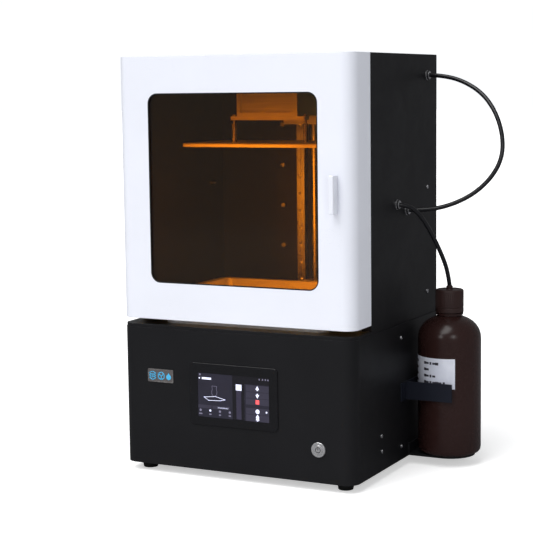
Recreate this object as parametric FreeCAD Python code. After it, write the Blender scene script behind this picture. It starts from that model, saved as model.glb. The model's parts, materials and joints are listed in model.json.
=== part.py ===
import FreeCAD, Part
import math
import os
from FreeCAD import Vector

# A free-standing resin printer: a black sheet-steel base, a black cabinet with a white hinged door,
# a lifting platform over a resin vat, and a resin bottle with its feed hoses on the right side.
# Millimetres. X runs to the right from the housing's middle, Y runs back from the front panel,
# Z runs up from the base's bottom edge. save() moves everything to the part's own frame, whose
# origin lies on the table under the middle of the whole object.

os.makedirs("parts", exist_ok=True)

# ------------------------------------------------------------------ driving sizes
# Housing
body_width = 350.0
body_depth = 298.0
body_height = 559.0
base_height = 195.0
corner_radius = 18.0
base_wall = 2.0
cabinet_wall = 1.5
cabinet_flange = 13.0
air_slot_x = 122.0
air_slot_half = 28.0
air_slot_count = 8
air_slot_step = 8.0
air_slot_below_top = 60.0
ledge_height = 4.5
ledge_inset = 0.8
back_panel = 2.0
floor_sheet = 1.5
deck_thickness = 5.0
loose_fit = 0.2
foot_height = 11.6
foot_top_radius = 12.0
foot_bottom_radius = 10.0
foot_from_side = 25.0
foot_from_end = 28.0

# Door, its window, handle and hinges
door_depth = 57.0
door_wall = 2.0
door_bottom = 203.0
door_lip = 14.0
door_gap = 1.0
window_half_width = 126.0
window_bottom = 253.5
window_below_top = 49.5
window_radius = 14.0
window_lap = 8.0
pane_thickness = 3.0
seal_width = 1.6
handle_width = 7.0
handle_height = 50.0
handle_depth = 15.0
handle_from_side = 21.0
handle_bottom = 354.0
hinge_height = 50.0
hinge_leaf = 2.0
hinge_leaf_width = 26.0
knuckle_radius = 5.0
knuckle_gap = 0.5
hinge_pin_radius = 2.0
running_fit = 0.05
hinge_heights = (262.0, 450.0)

# Front controls
bezel_centre_x = -1.25
bezel_width = 133.5
bezel_height = 85.0
bezel_bottom = 62.5
bezel_radius = 6.0
bezel_proud = 1.5
screen_width = 107.5
screen_height = 60.0
screen_bottom = 74.0
button_x = 123.9
button_z = 44.7
button_ring_radius = 10.0
button_barrel_radius = 8.0
button_ring_proud = 2.0
button_cap_radius = 6.4
button_travel = 2.0

# Inside the base
base_flange_width = 12.0
base_flange_thickness = 2.0
board_thickness = 1.6
board_stand_off = 12.0
motor_boss_radius = 11.0
motor_shaft_radius = 2.5

# Light engine under the deck
mask_width = 207.0
mask_depth = 137.0
mask_thickness = 2.4
mask_active_width = 192.0
mask_active_depth = 120.0
light_height = 90.0
light_wall = 4.0

# Vertical axis
platform_y = 115.0
screw_y = 260.0
screw_radius = 6.0
screw_journal_radius = 4.0
nut_wall = 3.9
nut_flange = 6.0
rail_offset = 27.0
rail_width = 12.0
rail_thickness = 8.0
rail_back = 276.0
column_half_width = 72.0
column_plate = 8.0
block_width = 27.0
block_length = 45.4
block_height = 13.0
slide_fit = 0.1
motor_side = 42.3
motor_length = 40.0

# Platform, as it hangs in the upper part of the chamber
plate_width = 206.0
plate_depth = 126.0
plate_thickness = 5.0
plate_below_top = 118.0
post_radius = 3.5
post_length = 25.0
post_spacing = 110.4
crossbar_length = 115.6
crossbar_depth = 15.0
crossbar_thickness = 5.0
arm_half_width = 46.4
arm_wall = 5.0
arm_height = 34.0
arm_step = 8.0
carriage_half_width = 40.0
carriage_height = 74.0
carriage_plate_thickness = 8.0
platform_knob_radius = 17.0
platform_knob_height = 18.0
platform_knob_stem = 4.0
platform_knob_back = 18.0
post_stud = 1.5

# Vat
vat_wall = 11.0
vat_clearance_x = 10.0
vat_clearance_y = 15.0
vat_height = 42.7
vat_radius = 12.0
film_thickness = 0.3
film_level = 0.5
vat_ear_length = 24.0
vat_ear_width = 24.0
vat_ear_height = 10.0
vat_knob_radius = 11.0
vat_knob_height = 20.0
vat_knob_stem = 3.0
vat_lift = 50.0

# Cooling fan and power inlet in the base's back panel
fan_side = 80.0
fan_thickness = 25.0
fan_z = 62.0
inlet_x = 120.0
inlet_z = 60.0
usb_x = -110.0
usb_z = 60.0

# Resin feed on the right side
hose_radius = 3.0
port_radius = 6.5
port_length = 4.0
port_sleeve_radius = 5.1
bottle_port = (147.0, 356.0)
loop_low_port = (182.0, 346.0)
loop_high_port = (260.0, 530.0)
bottle_radius = 44.0
bottle_off_wall = 4.0
bottle_y = 222.0
bottle_wall = 2.0
bottle_shoulder = 167.0
bottle_neck_radius = 17.0
bottle_neck_height = 200.0
cap_wall = 2.6
cap_height = 32.0
shelf_thickness = 3.0
shelf_level = 1.0
shelf_radius = 36.0
clamp_bottom = 83.0
clamp_height = 25.0
clamp_strap = 2.0
clamp_past_middle = 20.0
bottle_gap = 0.4
pump_radius = 32.0
pump_depth = 22.0
pump_wall = 5.0
pump_motor_radius = 16.0
pump_motor_length = 26.0
roller_radius = 5.0
roller_circle = 15.0
pipe_above_lifted_vat = 36.0
pipe_fall = 12.0
spout_above_vat = 14.0

# ------------------------------------------------------------------ places worked out from them
half_width = body_width / 2
window_top = body_height - window_below_top
deck_top = base_height
deck_bottom = deck_top - deck_thickness
hinge_offset = knuckle_radius + 0.5
hinge_x = -(half_width + hinge_offset)
hinge_y = door_depth + door_gap / 2
cabinet_front = door_depth + door_gap
cabinet_back_front = body_depth - cabinet_wall
bezel_left = bezel_centre_x - bezel_width / 2
bezel_right = bezel_centre_x + bezel_width / 2
bezel_middle_z = bezel_bottom + bezel_height / 2
mask_top = deck_top + 0.2
mask_bottom = mask_top - mask_thickness
light_top = deck_bottom
light_bottom = light_top - light_height
nut_body_radius = screw_radius + nut_wall
nut_flange_radius = screw_radius + nut_flange
column_front = rail_back
column_back = column_front + column_plate
column_top = body_height - cabinet_wall - 1.5
rail_front = rail_back - rail_thickness
block_front = rail_back - block_height
plate_top = body_height - plate_below_top
crossbar_bottom = plate_top + post_length + 5.0
crossbar_top = crossbar_bottom + crossbar_thickness
arm_bottom = crossbar_top
arm_top = arm_bottom + arm_height
carriage_back = screw_y - nut_flange_radius - 0.5
carriage_front = carriage_back - carriage_plate_thickness
carriage_bottom = arm_bottom - 14.0
carriage_top = carriage_bottom + carriage_height
carriage_middle = (carriage_bottom + carriage_top) / 2
pad_inner = rail_offset - block_width / 2
nut_z = carriage_middle - 11.0
coupler_bottom = deck_top + 2.5
coupler_top = coupler_bottom + 22.0
low_bearing_bottom = coupler_top + 2.0
low_bearing_top = low_bearing_bottom + 10.0
high_bearing_top = column_top
high_bearing_bottom = high_bearing_top - 6.5
vat_half_width = plate_width / 2 + vat_clearance_x
vat_half_depth = plate_depth / 2 + vat_clearance_y
vat_outer_half_width = vat_half_width + vat_wall
vat_outer_half_depth = vat_half_depth + vat_wall
film_bottom = deck_top + film_level
film_top = film_bottom + film_thickness
vat_top = deck_top + vat_height
vat_knob_x = vat_outer_half_width + vat_ear_length / 2
vat_ear_top = deck_top + vat_ear_height
fan_front = body_depth - back_panel - 0.2 - fan_thickness
bottle_from_side = bottle_off_wall + bottle_radius
bottle_x = half_width + bottle_from_side
bottle_bottom = shelf_level + shelf_thickness + loose_fit
cap_radius = bottle_neck_radius + cap_wall
cap_top = bottle_neck_height + 2.0 + cap_height
bottle_mouth = cap_top - 8.0
inlet_back = body_depth + 2.5
rocker_proud = 2.2

front_reach = handle_depth
back_reach = inlet_back + rocker_proud
left_reach = half_width + hinge_offset + knuckle_radius
right_reach = bottle_x + bottle_radius
to_frame = Vector((left_reach - right_reach) / 2, (front_reach - back_reach) / 2, foot_height)

# ------------------------------------------------------------------ hose routes, chosen by hand
# Each point gives its distance from the right wall, its depth and its height.
loop_points = [
    (3.0, 260.0, 530.0),
    (25.0, 256.5, 529.0),
    (57.0, 249.0, 521.5),
    (89.0, 240.5, 504.0),
    (111.5, 231.5, 477.0),
    (123.5, 224.0, 445.0),
    (124.0, 218.0, 415.0),
    (110.0, 211.0, 388.0),
    (86.0, 203.5, 366.0),
    (55.0, 195.0, 351.5),
    (25.0, 187.5, 346.0),
    (3.0, 182.0, 346.0),
]
bottle_points = [
    (48.0, 222.0, 239.0),
    (47.5, 217.0, 258.0),
    (43.5, 204.0, 283.0),
    (36.5, 187.0, 311.0),
    (29.5, 172.5, 333.0),
    (22.0, 161.5, 347.0),
    (13.0, 153.0, 354.5),
    (3.0, 147.5, 356.0),
]
loop_route = [(half_width + away, y, z) for away, y, z in loop_points]
bottle_stretch = bottle_from_side / bottle_points[0][0]
bottle_route = [(half_width + away * bottle_stretch, y, z) for away, y, z in bottle_points]

x_way = Vector(1, 0, 0)
y_way = Vector(0, 1, 0)
z_way = Vector(0, 0, 1)


# ------------------------------------------------------------------ building tools
def save(node, shape):
    """Write one sub-part in the part's own frame."""
    placed = shape.copy()
    placed.translate(to_frame)
    placed.exportStep("parts/" + node + ".step")


def block(x, y, z):
    """A box between two values along each axis."""
    corner = Vector(x[0], y[0], z[0])
    return Part.makeBox(x[1] - x[0], y[1] - y[0], z[1] - z[0], corner)


def rod(radius, start, end):
    """A round bar between two points."""
    way = Vector(*end) - Vector(*start)
    return Part.makeCylinder(radius, way.Length, Vector(*start), way)


def along(shape, way, keep=lambda middle: True):
    """The straight edges of a shape that run one way and whose middles pass a test."""
    found = []
    for edge in shape.Edges:
        straight = edge.Curve.TypeId == "Part::GeomLine"
        if straight and abs(edge.tangentAt(edge.FirstParameter).dot(way)) > 0.999:
            if keep(edge.CenterOfMass):
                found.append(edge)
    return found


def slab(x, y, z, radius, way):
    """A box whose four edges along one axis are rounded."""
    plain = block(x, y, z)
    return plain.makeFillet(radius, along(plain, way))


def mirrored(shape):
    """The same shape on the other side of the housing's middle."""
    return shape.mirror(Vector(0, 0, 0), x_way)


def joined(shapes):
    """One solid from shapes that touch or overlap."""
    first, rest = shapes[0], shapes[1:]
    return first.fuse(rest).removeSplitter()


def front_rounded(half, y, z, radius):
    """A box across the housing whose two upright front edges are rounded."""
    plain = block((-half, half), y, z)
    return plain.makeFillet(radius, along(plain, z_way, lambda middle: middle.y < y[0] + 1))


def hose(route, radius, name):
    """A hose of straight runs joined by arcs as large as the runs allow."""
    points = [Vector(*point) for point in route]
    edges = []
    radii = []
    here = points[0]
    for before, corner, after in zip(points, points[1:], points[2:]):
        back = before - corner
        ahead = after - corner
        half_turn = (math.pi - back.getAngle(ahead)) / 2
        reach = 0.45 * min(back.Length, ahead.Length)
        bend = reach / math.tan(half_turn)
        inward = back.normalize() + ahead.normalize()
        inward.normalize()
        start = corner + back * reach
        end = corner + ahead * reach
        middle = corner + inward * (bend / math.cos(half_turn) - bend)
        edges.append(Part.LineSegment(here, start).toShape())
        edges.append(Part.Arc(start, middle, end).toShape())
        radii.append(round(bend, 1))
        here = end
    edges.append(Part.LineSegment(here, points[-1]).toShape())
    path = Part.Wire(edges)
    section = Part.Wire(Part.makeCircle(radius, points[0], points[1] - points[0]))
    solid = path.makePipeShell([section], True, False)
    expected = math.pi * radius ** 2 * path.Length
    print(name, "bend radii", radii, "length", round(path.Length, 1))
    print(name, "volume over section times length", round(solid.Volume / expected, 4))
    return solid


# ------------------------------------------------------------------ housing screws
screw_shank = 1.5
screw_head = 2.8
screw_length = 8.0
side_screws_left = [(161.0, 19.2), (160.0, 171.5), (260.0, 224.0), (260.0, 373.0)]
side_screws_right = [(90.0, 48.4), (91.0, 27.3)] + side_screws_left
column_screw_head = 3.4
column_screw_shank = 2.0
column_screw_length = 7.0
column_screw_x = 60.0
column_screw_heights = (220.0, 280.3, 340.5, 400.7, 460.9, 521.1)


def side_screw_holes():
    """Clearance holes through both side walls, one per side screw."""
    deep = half_width - screw_length - 1
    holes = []
    for y, z in side_screws_right:
        holes.append(rod(screw_shank + running_fit, (deep, y, z), (half_width + 1, y, z)))
    for y, z in side_screws_left:
        holes.append(rod(screw_shank + running_fit, (-deep, y, z), (-half_width - 1, y, z)))
    return Part.makeCompound(holes)


def button_head_screw(seat, way, radius, shank, length):
    """A button-head screw whose head stands on a point, away from its shank."""
    head_height = radius * 0.6
    seat = Vector(*seat)
    head = Part.makeCylinder(radius, head_height, seat, way)
    far_rim = [edge for edge in head.Edges if (edge.CenterOfMass - seat).dot(way) > head_height * 0.9]
    head = head.makeFillet(head_height * 0.6, far_rim)
    socket = Part.makeCylinder(radius * 0.4, head_height * 0.7, seat + way * head_height * 0.5, way)
    body = Part.makeCylinder(shank, length, seat, way * -1)
    return head.fuse(body).cut(socket)


def housing_screws():
    """The screws that hold the housing together, and those of the column to the back."""
    screws = []
    for y, z in side_screws_right:
        screws.append(button_head_screw((half_width, y, z), x_way, screw_head, screw_shank, screw_length))
    for y, z in side_screws_left:
        screws.append(button_head_screw((-half_width, y, z), x_way * -1, screw_head, screw_shank,
                                        screw_length))
    for z in column_screw_heights:
        for x in (-column_screw_x, column_screw_x):
            screws.append(button_head_screw((x, column_front, z), y_way * -1, column_screw_head,
                                            column_screw_shank, column_screw_length))
    return Part.makeCompound(screws)


# ------------------------------------------------------------------ base
def base_shell():
    """The base's wrap of steel: front and sides in one, with a set-back rim along its top."""
    ledge = base_height - ledge_height
    lower = front_rounded(half_width, (0, body_depth), (0, ledge), corner_radius)
    rim = front_rounded(half_width - ledge_inset, (ledge_inset, body_depth), (ledge, base_height),
                        corner_radius - ledge_inset)
    inside = front_rounded(half_width - base_wall, (base_wall, body_depth + 1), (-1, base_height + 1),
                           corner_radius - base_wall)
    shell = lower.fuse(rim).cut(inside)
    flange_y = (body_depth - back_panel - base_flange_thickness, body_depth - back_panel)
    flange_x = (half_width - base_wall - base_flange_width, half_width - base_wall)
    flange = block(flange_x, flange_y, (4.0, deck_bottom - 2.0))
    opening = slab((bezel_left + 3, bezel_right - 3), (-1, base_wall + 1),
                   (bezel_bottom + 3, bezel_bottom + bezel_height - 3), 3.0, y_way)
    button_hole = rod(button_barrel_radius + loose_fit, (button_x, -1, button_z), (button_x, 5, button_z))
    shell = joined([shell, flange, mirrored(flange)])
    return shell.cut([opening, button_hole, side_screw_holes()])


def base_floor():
    """The base's bottom sheet, with rows of air slots."""
    reach = half_width - base_wall - loose_fit
    sheet = front_rounded(reach, (base_wall + loose_fit, body_depth - back_panel - loose_fit),
                          (0, floor_sheet), corner_radius - base_wall)
    slots = []
    for row in range(2):
        for number in range(12):
            x = -77.0 + number * 14.0
            y = 70.0 + row * 60.0
            slots.append(slab((x - 2, x + 2), (y, y + 40), (-1, floor_sheet + 1), 1.9, z_way))
    return sheet.cut(Part.makeCompound(slots))


def base_feet():
    """Four tapered rubber feet."""
    feet = []
    for x in (-half_width + foot_from_side, half_width - foot_from_side):
        for y in (foot_from_end, body_depth - foot_from_end):
            foot = Part.makeCone(foot_bottom_radius, foot_top_radius, foot_height, Vector(x, y, -foot_height))
            rim = [edge for edge in foot.Edges if edge.CenterOfMass.z < -foot_height + 0.1]
            feet.append(foot.makeFillet(1.0, rim))
    return Part.makeCompound(feet)


def fan_centre(y):
    """The cooling fan's axis at one depth."""
    return (0.0, y, fan_z)


def base_back_panel():
    """The base's back sheet with the fan's air slots, the power inlet's and the data port's openings."""
    reach = half_width - base_wall - loose_fit
    y = (body_depth - back_panel, body_depth)
    sheet = block((-reach, reach), y, (0, deck_bottom - loose_fit))
    cuts = []
    air_radius = fan_side / 2 - 4.0
    for number in range(-4, 5):
        x = number * 7.6
        tall = math.sqrt(air_radius ** 2 - x ** 2)
        cuts.append(slab((x - 2, x + 2), (y[0] - 1, y[1] + 1), (fan_z - tall, fan_z + tall), 1.9, y_way))
    for side in (-1, 1):
        for number in range(9):
            x = side * 125.0
            z = 104.0 + number * 7.0
            cuts.append(slab((x - 25, x + 25), (y[0] - 1, y[1] + 1), (z - 1.5, z + 1.5), 1.4, y_way))
    cuts.append(block((inlet_x - 14, inlet_x + 14), (y[0] - 1, y[1] + 1), (inlet_z - 28, inlet_z + 28)))
    cuts.append(block((usb_x - 7, usb_x + 7), (y[0] - 1, y[1] + 1), (usb_z - 3.5, usb_z + 3.5)))
    return sheet.cut(Part.makeCompound(cuts))


def vat_knob_holes(radius, bottom, top):
    """Upright holes where the vat's two thumbscrews stand."""
    return [rod(radius, (x, platform_y, bottom), (x, platform_y, top)) for x in (-vat_knob_x, vat_knob_x)]


def deck_plate():
    """The aluminium deck between base and chamber, with the masking screen's seat."""
    reach = half_width - base_wall - loose_fit
    plate = front_rounded(reach, (base_wall + loose_fit, body_depth), (deck_bottom, deck_top),
                          corner_radius - base_wall)
    seat = block((-mask_width / 2 - loose_fit, mask_width / 2 + loose_fit),
                 (platform_y - mask_depth / 2 - loose_fit, platform_y + mask_depth / 2 + loose_fit),
                 (mask_bottom, deck_top + 1))
    light = block((-mask_active_width / 2 - 2, mask_active_width / 2 + 2),
                  (platform_y - mask_active_depth / 2 - 2, platform_y + mask_active_depth / 2 + 2),
                  (deck_bottom - 1, deck_top + 1))
    shaft = rod(motor_boss_radius + 0.6, (0, screw_y, deck_bottom - 1), (0, screw_y, deck_top + 1))
    thumb = vat_knob_holes(vat_knob_stem + running_fit, deck_bottom - 1, deck_top + 1)
    return plate.cut([seat, light, shaft] + thumb)


def mask_screen():
    """The masking screen: glass over the light engine."""
    return slab((-mask_width / 2, mask_width / 2),
                (platform_y - mask_depth / 2, platform_y + mask_depth / 2),
                (mask_bottom, mask_top), 2.0, z_way)


def light_span(grow):
    """The light engine's plan, grown on every side of the screen's lit area."""
    x = (-mask_active_width / 2 - grow, mask_active_width / 2 + grow)
    y = (platform_y - mask_active_depth / 2 - grow, platform_y + mask_active_depth / 2 + grow)
    return x, y


def light_frame():
    """The four-sided duct that carries the light up to the screen."""
    outer_x, outer_y = light_span(light_wall + 3)
    inner_x, inner_y = light_span(3)
    outer = block(outer_x, outer_y, (light_bottom, light_top))
    return outer.cut(block(inner_x, inner_y, (light_bottom - 1, light_top + 1)))


def lens_plate():
    """The sheet of lenses over the lamps, on four short legs."""
    x, y = light_span(3 - loose_fit)
    lens_level = light_bottom + 22.0
    parts = [block(x, y, (lens_level, lens_level + 4.0))]
    for leg_x in (x[0] + 5, x[1] - 5):
        for leg_y in (y[0] + 5, y[1] - 5):
            parts.append(rod(3.0, (leg_x, leg_y, light_bottom + board_thickness), (leg_x, leg_y, lens_level)))
    return joined(parts)


def led_board():
    """The lamp board, a grid of domed lamps on a plate."""
    x, y = light_span(3 - loose_fit)
    parts = [block(x, y, (light_bottom, light_bottom + board_thickness))]
    for column in range(8):
        for row in range(5):
            lamp_x = (column - 3.5) * 24.0
            lamp_y = platform_y + (row - 2) * 24.0
            parts.append(rod(3.5, (lamp_x, lamp_y, light_bottom + 1.5), (lamp_x, lamp_y, light_bottom + 4.5)))
    return joined(parts)


def heatsink():
    """The finned aluminium block under the lamps."""
    x, y = light_span(light_wall + 3)
    parts = [block(x, y, (light_bottom - 6.0, light_bottom))]
    fins = 15
    pitch = (x[1] - x[0] - 2.0) / (fins - 1)
    for number in range(fins):
        fin_x = x[0] + number * pitch
        parts.append(block((fin_x, fin_x + 2.0), y, (light_bottom - 30.0, light_bottom - 5.5)))
    return joined(parts)


def fan_frame():
    """The cooling fan's square frame with its motor seat and four struts."""
    y = (fan_front, fan_front + fan_thickness)
    half = fan_side / 2
    frame = slab((-half, half), y, (fan_z - half, fan_z + half), 4.0, y_way)
    frame = frame.cut(rod(half - 1.5, fan_centre(y[0] - 1), fan_centre(y[1] + 1)))
    parts = [frame, rod(15.0, fan_centre(y[1] - 4.0), fan_centre(y[1]))]
    for turn in (45, 135, 225, 315):
        strut = block((12.0, half - 1.0), (y[1] - 4.0, y[1]), (-2.0, 2.0))
        strut.rotate(Vector(0, 0, 0), y_way, turn)
        strut.translate(Vector(0, 0, fan_z))
        parts.append(strut)
    frame = joined(parts)
    bolt = half - 4.3
    holes = [rod(2.2, (x, y[0] - 1, fan_z + z), (x, y[1] + 1, fan_z + z))
             for x in (-bolt, bolt) for z in (-bolt, bolt)]
    axle = rod(2.0 + running_fit, fan_centre(y[1] - 3.0), fan_centre(y[0]))
    return frame.cut(holes + [axle])


def fan_rotor():
    """The fan's hub with seven pitched blades and its short axle."""
    front = fan_front + 2.0
    back = fan_front + fan_thickness - 5.0
    parts = [rod(16.0, fan_centre(front), fan_centre(back)),
             rod(2.0, fan_centre(back - 1), fan_centre(back + 1.8))]
    tip = fan_side / 2 - 3.0
    ring = rod(tip, fan_centre(front + 1), fan_centre(back - 1))
    for number in range(7):
        blade = block((14.0, tip + 2.0), (-10.0, 10.0), (-0.8, 0.8))
        blade.rotate(Vector(0, 0, 0), x_way, 40)
        blade.rotate(Vector(0, 0, 0), y_way, number * 360.0 / 7)
        blade.translate(Vector(0, (front + back) / 2, fan_z))
        parts.append(blade.common(ring))
    return joined(parts)


def mainboard():
    """The control board on its studs, with chips, connectors and a small heatsink."""
    x = half_width - base_wall - board_stand_off
    face = x - board_thickness
    parts = [block((face, x), (60, 200), (40, 140))]
    for y in (66, 194):
        for z in (46, 134):
            parts.append(rod(3.0, (x, y, z), (half_width - base_wall, y, z)))
    for number in range(5):
        z = 56.0 + number * 16.0
        parts.append(block((face - 8, face), (182, 194), (z, z + 12)))
    parts.append(block((face - 2, face), (100, 128), (80, 108)))
    parts.append(block((face - 12, face), (140, 164), (84, 108)))
    parts.append(block((face - 6, face), (66, 74), (60, 120)))
    return joined(parts)


def power_supply():
    """The enclosed power supply with its row of terminals."""
    side = -half_width + screw_length + 0.5
    body = block((side, side + 30.0), (60, 210), (floor_sheet, floor_sheet + 97.0))
    terminals = block((side + 8.0, side + 26.0), (206, 226), (floor_sheet + 8.0, floor_sheet + 90.0))
    slots = []
    for row in range(2):
        for number in range(10):
            y = 72.0 + number * 12.0
            z = floor_sheet + 18.0 + row * 36.0
            slots.append(block((side + 28.0, side + 31.0), (y, y + 6), (z, z + 26)))
    return joined([body, terminals]).cut(Part.makeCompound(slots))


socket_z = inlet_z - 12.0
rocker_z = inlet_z + 16.0


def power_inlet():
    """The mains inlet: flange, body, three flat pins in a socket, and the rocker's seat."""
    flange = slab((inlet_x - 16, inlet_x + 16), (body_depth, inlet_back), (inlet_z - 31, inlet_z + 31), 2.0,
                  y_way)
    body = block((inlet_x - 13.6, inlet_x + 13.6), (body_depth - 26, body_depth),
                 (inlet_z - 27.6, inlet_z + 27.6))
    case = flange.fuse(body)
    socket = slab((inlet_x - 12, inlet_x + 12), (body_depth - 14, inlet_back + 1),
                  (socket_z - 8.5, socket_z + 8.5), 3.0, y_way)
    seat = block((inlet_x - 10, inlet_x + 10), (body_depth - 12, inlet_back + 1),
                 (rocker_z - 7.5, rocker_z + 7.5))
    pins = [block((inlet_x + x - 1, inlet_x + x + 1), (body_depth - 15, body_depth - 1),
                  (socket_z + z - 2, socket_z + z + 2))
            for x, z in ((-7, -2), (0, 2), (7, -2))]
    return joined([case.cut([socket, seat])] + pins)


rocker_axis_y = body_depth - 4.0
rocker_tilt = 9.0


def power_rocker():
    """The rocker of the mains switch, resting with its lower half pressed in."""
    outline = Part.makePolygon([
        Vector(inlet_x - 9.6, rocker_axis_y - 5.0, rocker_z - 3.0),
        Vector(inlet_x - 9.6, inlet_back - 0.6, rocker_z - 6.2),
        Vector(inlet_x - 9.6, inlet_back + rocker_proud - 1.2, rocker_z - 5.6),
        Vector(inlet_x - 9.6, inlet_back + 0.4, rocker_z),
        Vector(inlet_x - 9.6, inlet_back + rocker_proud - 1.2, rocker_z + 5.6),
        Vector(inlet_x - 9.6, inlet_back - 0.6, rocker_z + 6.2),
        Vector(inlet_x - 9.6, rocker_axis_y - 5.0, rocker_z + 3.0),
        Vector(inlet_x - 9.6, rocker_axis_y - 5.0, rocker_z - 3.0),
    ])
    wedge = Part.Face(outline).extrude(Vector(19.2, 0, 0))
    pivot = rod(1.2, (inlet_x - 9.9, rocker_axis_y, rocker_z), (inlet_x + 9.9, rocker_axis_y, rocker_z))
    rocker = joined([wedge, pivot])
    rocker.rotate(Vector(inlet_x, rocker_axis_y, rocker_z), x_way, rocker_tilt)
    return rocker


def usb_port():
    """A data socket in the back panel: metal shell, tongue and its small board."""
    shell = block((usb_x - 6.6, usb_x + 6.6), (body_depth - 14, body_depth + 0.6), (usb_z - 3.2, usb_z + 3.2))
    mouth = block((usb_x - 6.1, usb_x + 6.1), (body_depth - 12, body_depth + 2), (usb_z - 2.7, usb_z + 2.7))
    tongue = block((usb_x - 5.2, usb_x + 5.2), (body_depth - 13, body_depth - 1), (usb_z + 0.4, usb_z + 2.0))
    board = block((usb_x - 10, usb_x + 10), (body_depth - 30, body_depth - 4), (usb_z - 4.8, usb_z - 3.2))
    return joined([shell.cut(mouth), tongue, board])


# ------------------------------------------------------------------ front controls
def display_bezel():
    """The gloss black frame of the touch display, lapping over the front panel."""
    x = (bezel_left, bezel_right)
    z = (bezel_bottom, bezel_bottom + bezel_height)
    rim = slab(x, (-bezel_proud, 0), z, bezel_radius, y_way)
    front_edges = [edge for edge in rim.Edges if edge.CenterOfMass.y < -bezel_proud + 0.01]
    rim = rim.makeFillet(0.6, front_edges)
    sleeve = slab((x[0] + 3.3, x[1] - 3.3), (-0.1, base_wall + 6), (z[0] + 3.3, z[1] - 3.3), 2.6, y_way)
    recess = block((bezel_centre_x - screen_width / 2 - loose_fit,
                    bezel_centre_x + screen_width / 2 + loose_fit),
                   (-bezel_proud - 1, base_wall + 7),
                   (screen_bottom - loose_fit, screen_bottom + screen_height + loose_fit))
    return joined([rim, sleeve]).cut(recess)


def display_panel():
    """The touch display itself and its board behind."""
    x = (bezel_centre_x - screen_width / 2, bezel_centre_x + screen_width / 2)
    z = (screen_bottom, screen_bottom + screen_height)
    glass = block(x, (-bezel_proud + 0.3, base_wall + 6), z)
    board = block((x[0] - 6, x[1] + 6), (base_wall + 6, base_wall + 9), (z[0] - 6, z[1] + 6))
    return joined([glass, board])


def button_at(y):
    """The power button's axis at one depth."""
    return (button_x, y, button_z)


def button_ring():
    """The power button's steel ring, its barrel through the panel and the nut behind."""
    ring = rod(button_ring_radius, button_at(-button_ring_proud), button_at(0))
    front_rim = [edge for edge in ring.Edges if edge.CenterOfMass.y < -button_ring_proud + 0.1]
    ring = ring.makeFillet(0.7, front_rim)
    barrel = rod(button_barrel_radius, button_at(-0.1), button_at(26.0))
    corners = []
    for number in range(7):
        turn = math.pi * number / 3
        corners.append(Vector(button_x + 11.5 * math.cos(turn), base_wall, button_z + 11.5 * math.sin(turn)))
    nut = Part.Face(Part.makePolygon(corners)).extrude(Vector(0, 3.0, 0))
    well = rod(button_cap_radius + 0.1, button_at(-3.0), button_at(9.0))
    return joined([ring, barrel, nut]).cut(well)


def button_cap():
    """The power button's pressed face."""
    front = -button_ring_proud - 0.4
    cap = rod(button_cap_radius, button_at(front), button_at(8.5 - button_travel))
    front_rim = [edge for edge in cap.Edges if edge.CenterOfMass.y < front + 0.1]
    return cap.makeFillet(0.5, front_rim)


# ------------------------------------------------------------------ cabinet
def port_points():
    """The hose ports on the right wall, as depth and height."""
    return (bottle_port, loop_low_port, loop_high_port)


def cabinet_shell():
    """The cabinet's wrap: left wall, top and right wall, with a flange round its front."""
    y = (cabinet_front, body_depth)
    outer = block((-half_width, half_width), y, (base_height, body_height))
    inner = block((-half_width + cabinet_wall, half_width - cabinet_wall), (y[0] - 1, y[1] + 1),
                  (base_height - 1, body_height - cabinet_wall))
    frame = block((-half_width, half_width), (y[0], y[0] + cabinet_wall), (base_height, body_height))
    frame_inset = cabinet_wall + cabinet_flange
    frame_hole = block((-half_width + frame_inset, half_width - frame_inset), (y[0] - 1, y[0] + 3),
                       (base_height - 1, body_height - frame_inset))
    shell = joined([outer.cut(inner), frame.cut(frame_hole)])
    top_corners = along(shell, y_way, lambda p: abs(p.x) > half_width - 0.1 and p.z > body_height - 0.1)
    shell = shell.makeFillet(1.2, top_corners)
    ports = [rod(port_sleeve_radius + loose_fit, (half_width - 3, y, z), (half_width + 1, y, z))
             for y, z in port_points()]
    return shell.cut(ports + [side_screw_holes()])


def cabinet_back():
    """The cabinet's back sheet, with a stack of air slots near its top at the right of the column."""
    reach = half_width - cabinet_wall - loose_fit
    y = (cabinet_back_front, body_depth)
    sheet = block((-reach, reach), y, (base_height + loose_fit, body_height - cabinet_wall - loose_fit))
    slots = []
    for number in range(air_slot_count):
        z = body_height - air_slot_below_top - number * air_slot_step
        x = (air_slot_x - air_slot_half, air_slot_x + air_slot_half)
        slots.append(slab(x, (y[0] - 1, y[1] + 1), (z - 1.5, z + 1.5), 1.4, y_way))
    return sheet.cut(Part.makeCompound(slots))


def knuckle_bands(bottom):
    """The three bands of a hinge: fixed, moving and fixed again."""
    third = hinge_height / 3
    return (
        (bottom, bottom + third - knuckle_gap / 2),
        (bottom + third + knuckle_gap / 2, bottom + 2 * third - knuckle_gap / 2),
        (bottom + 2 * third + knuckle_gap / 2, bottom + hinge_height),
    )


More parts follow.
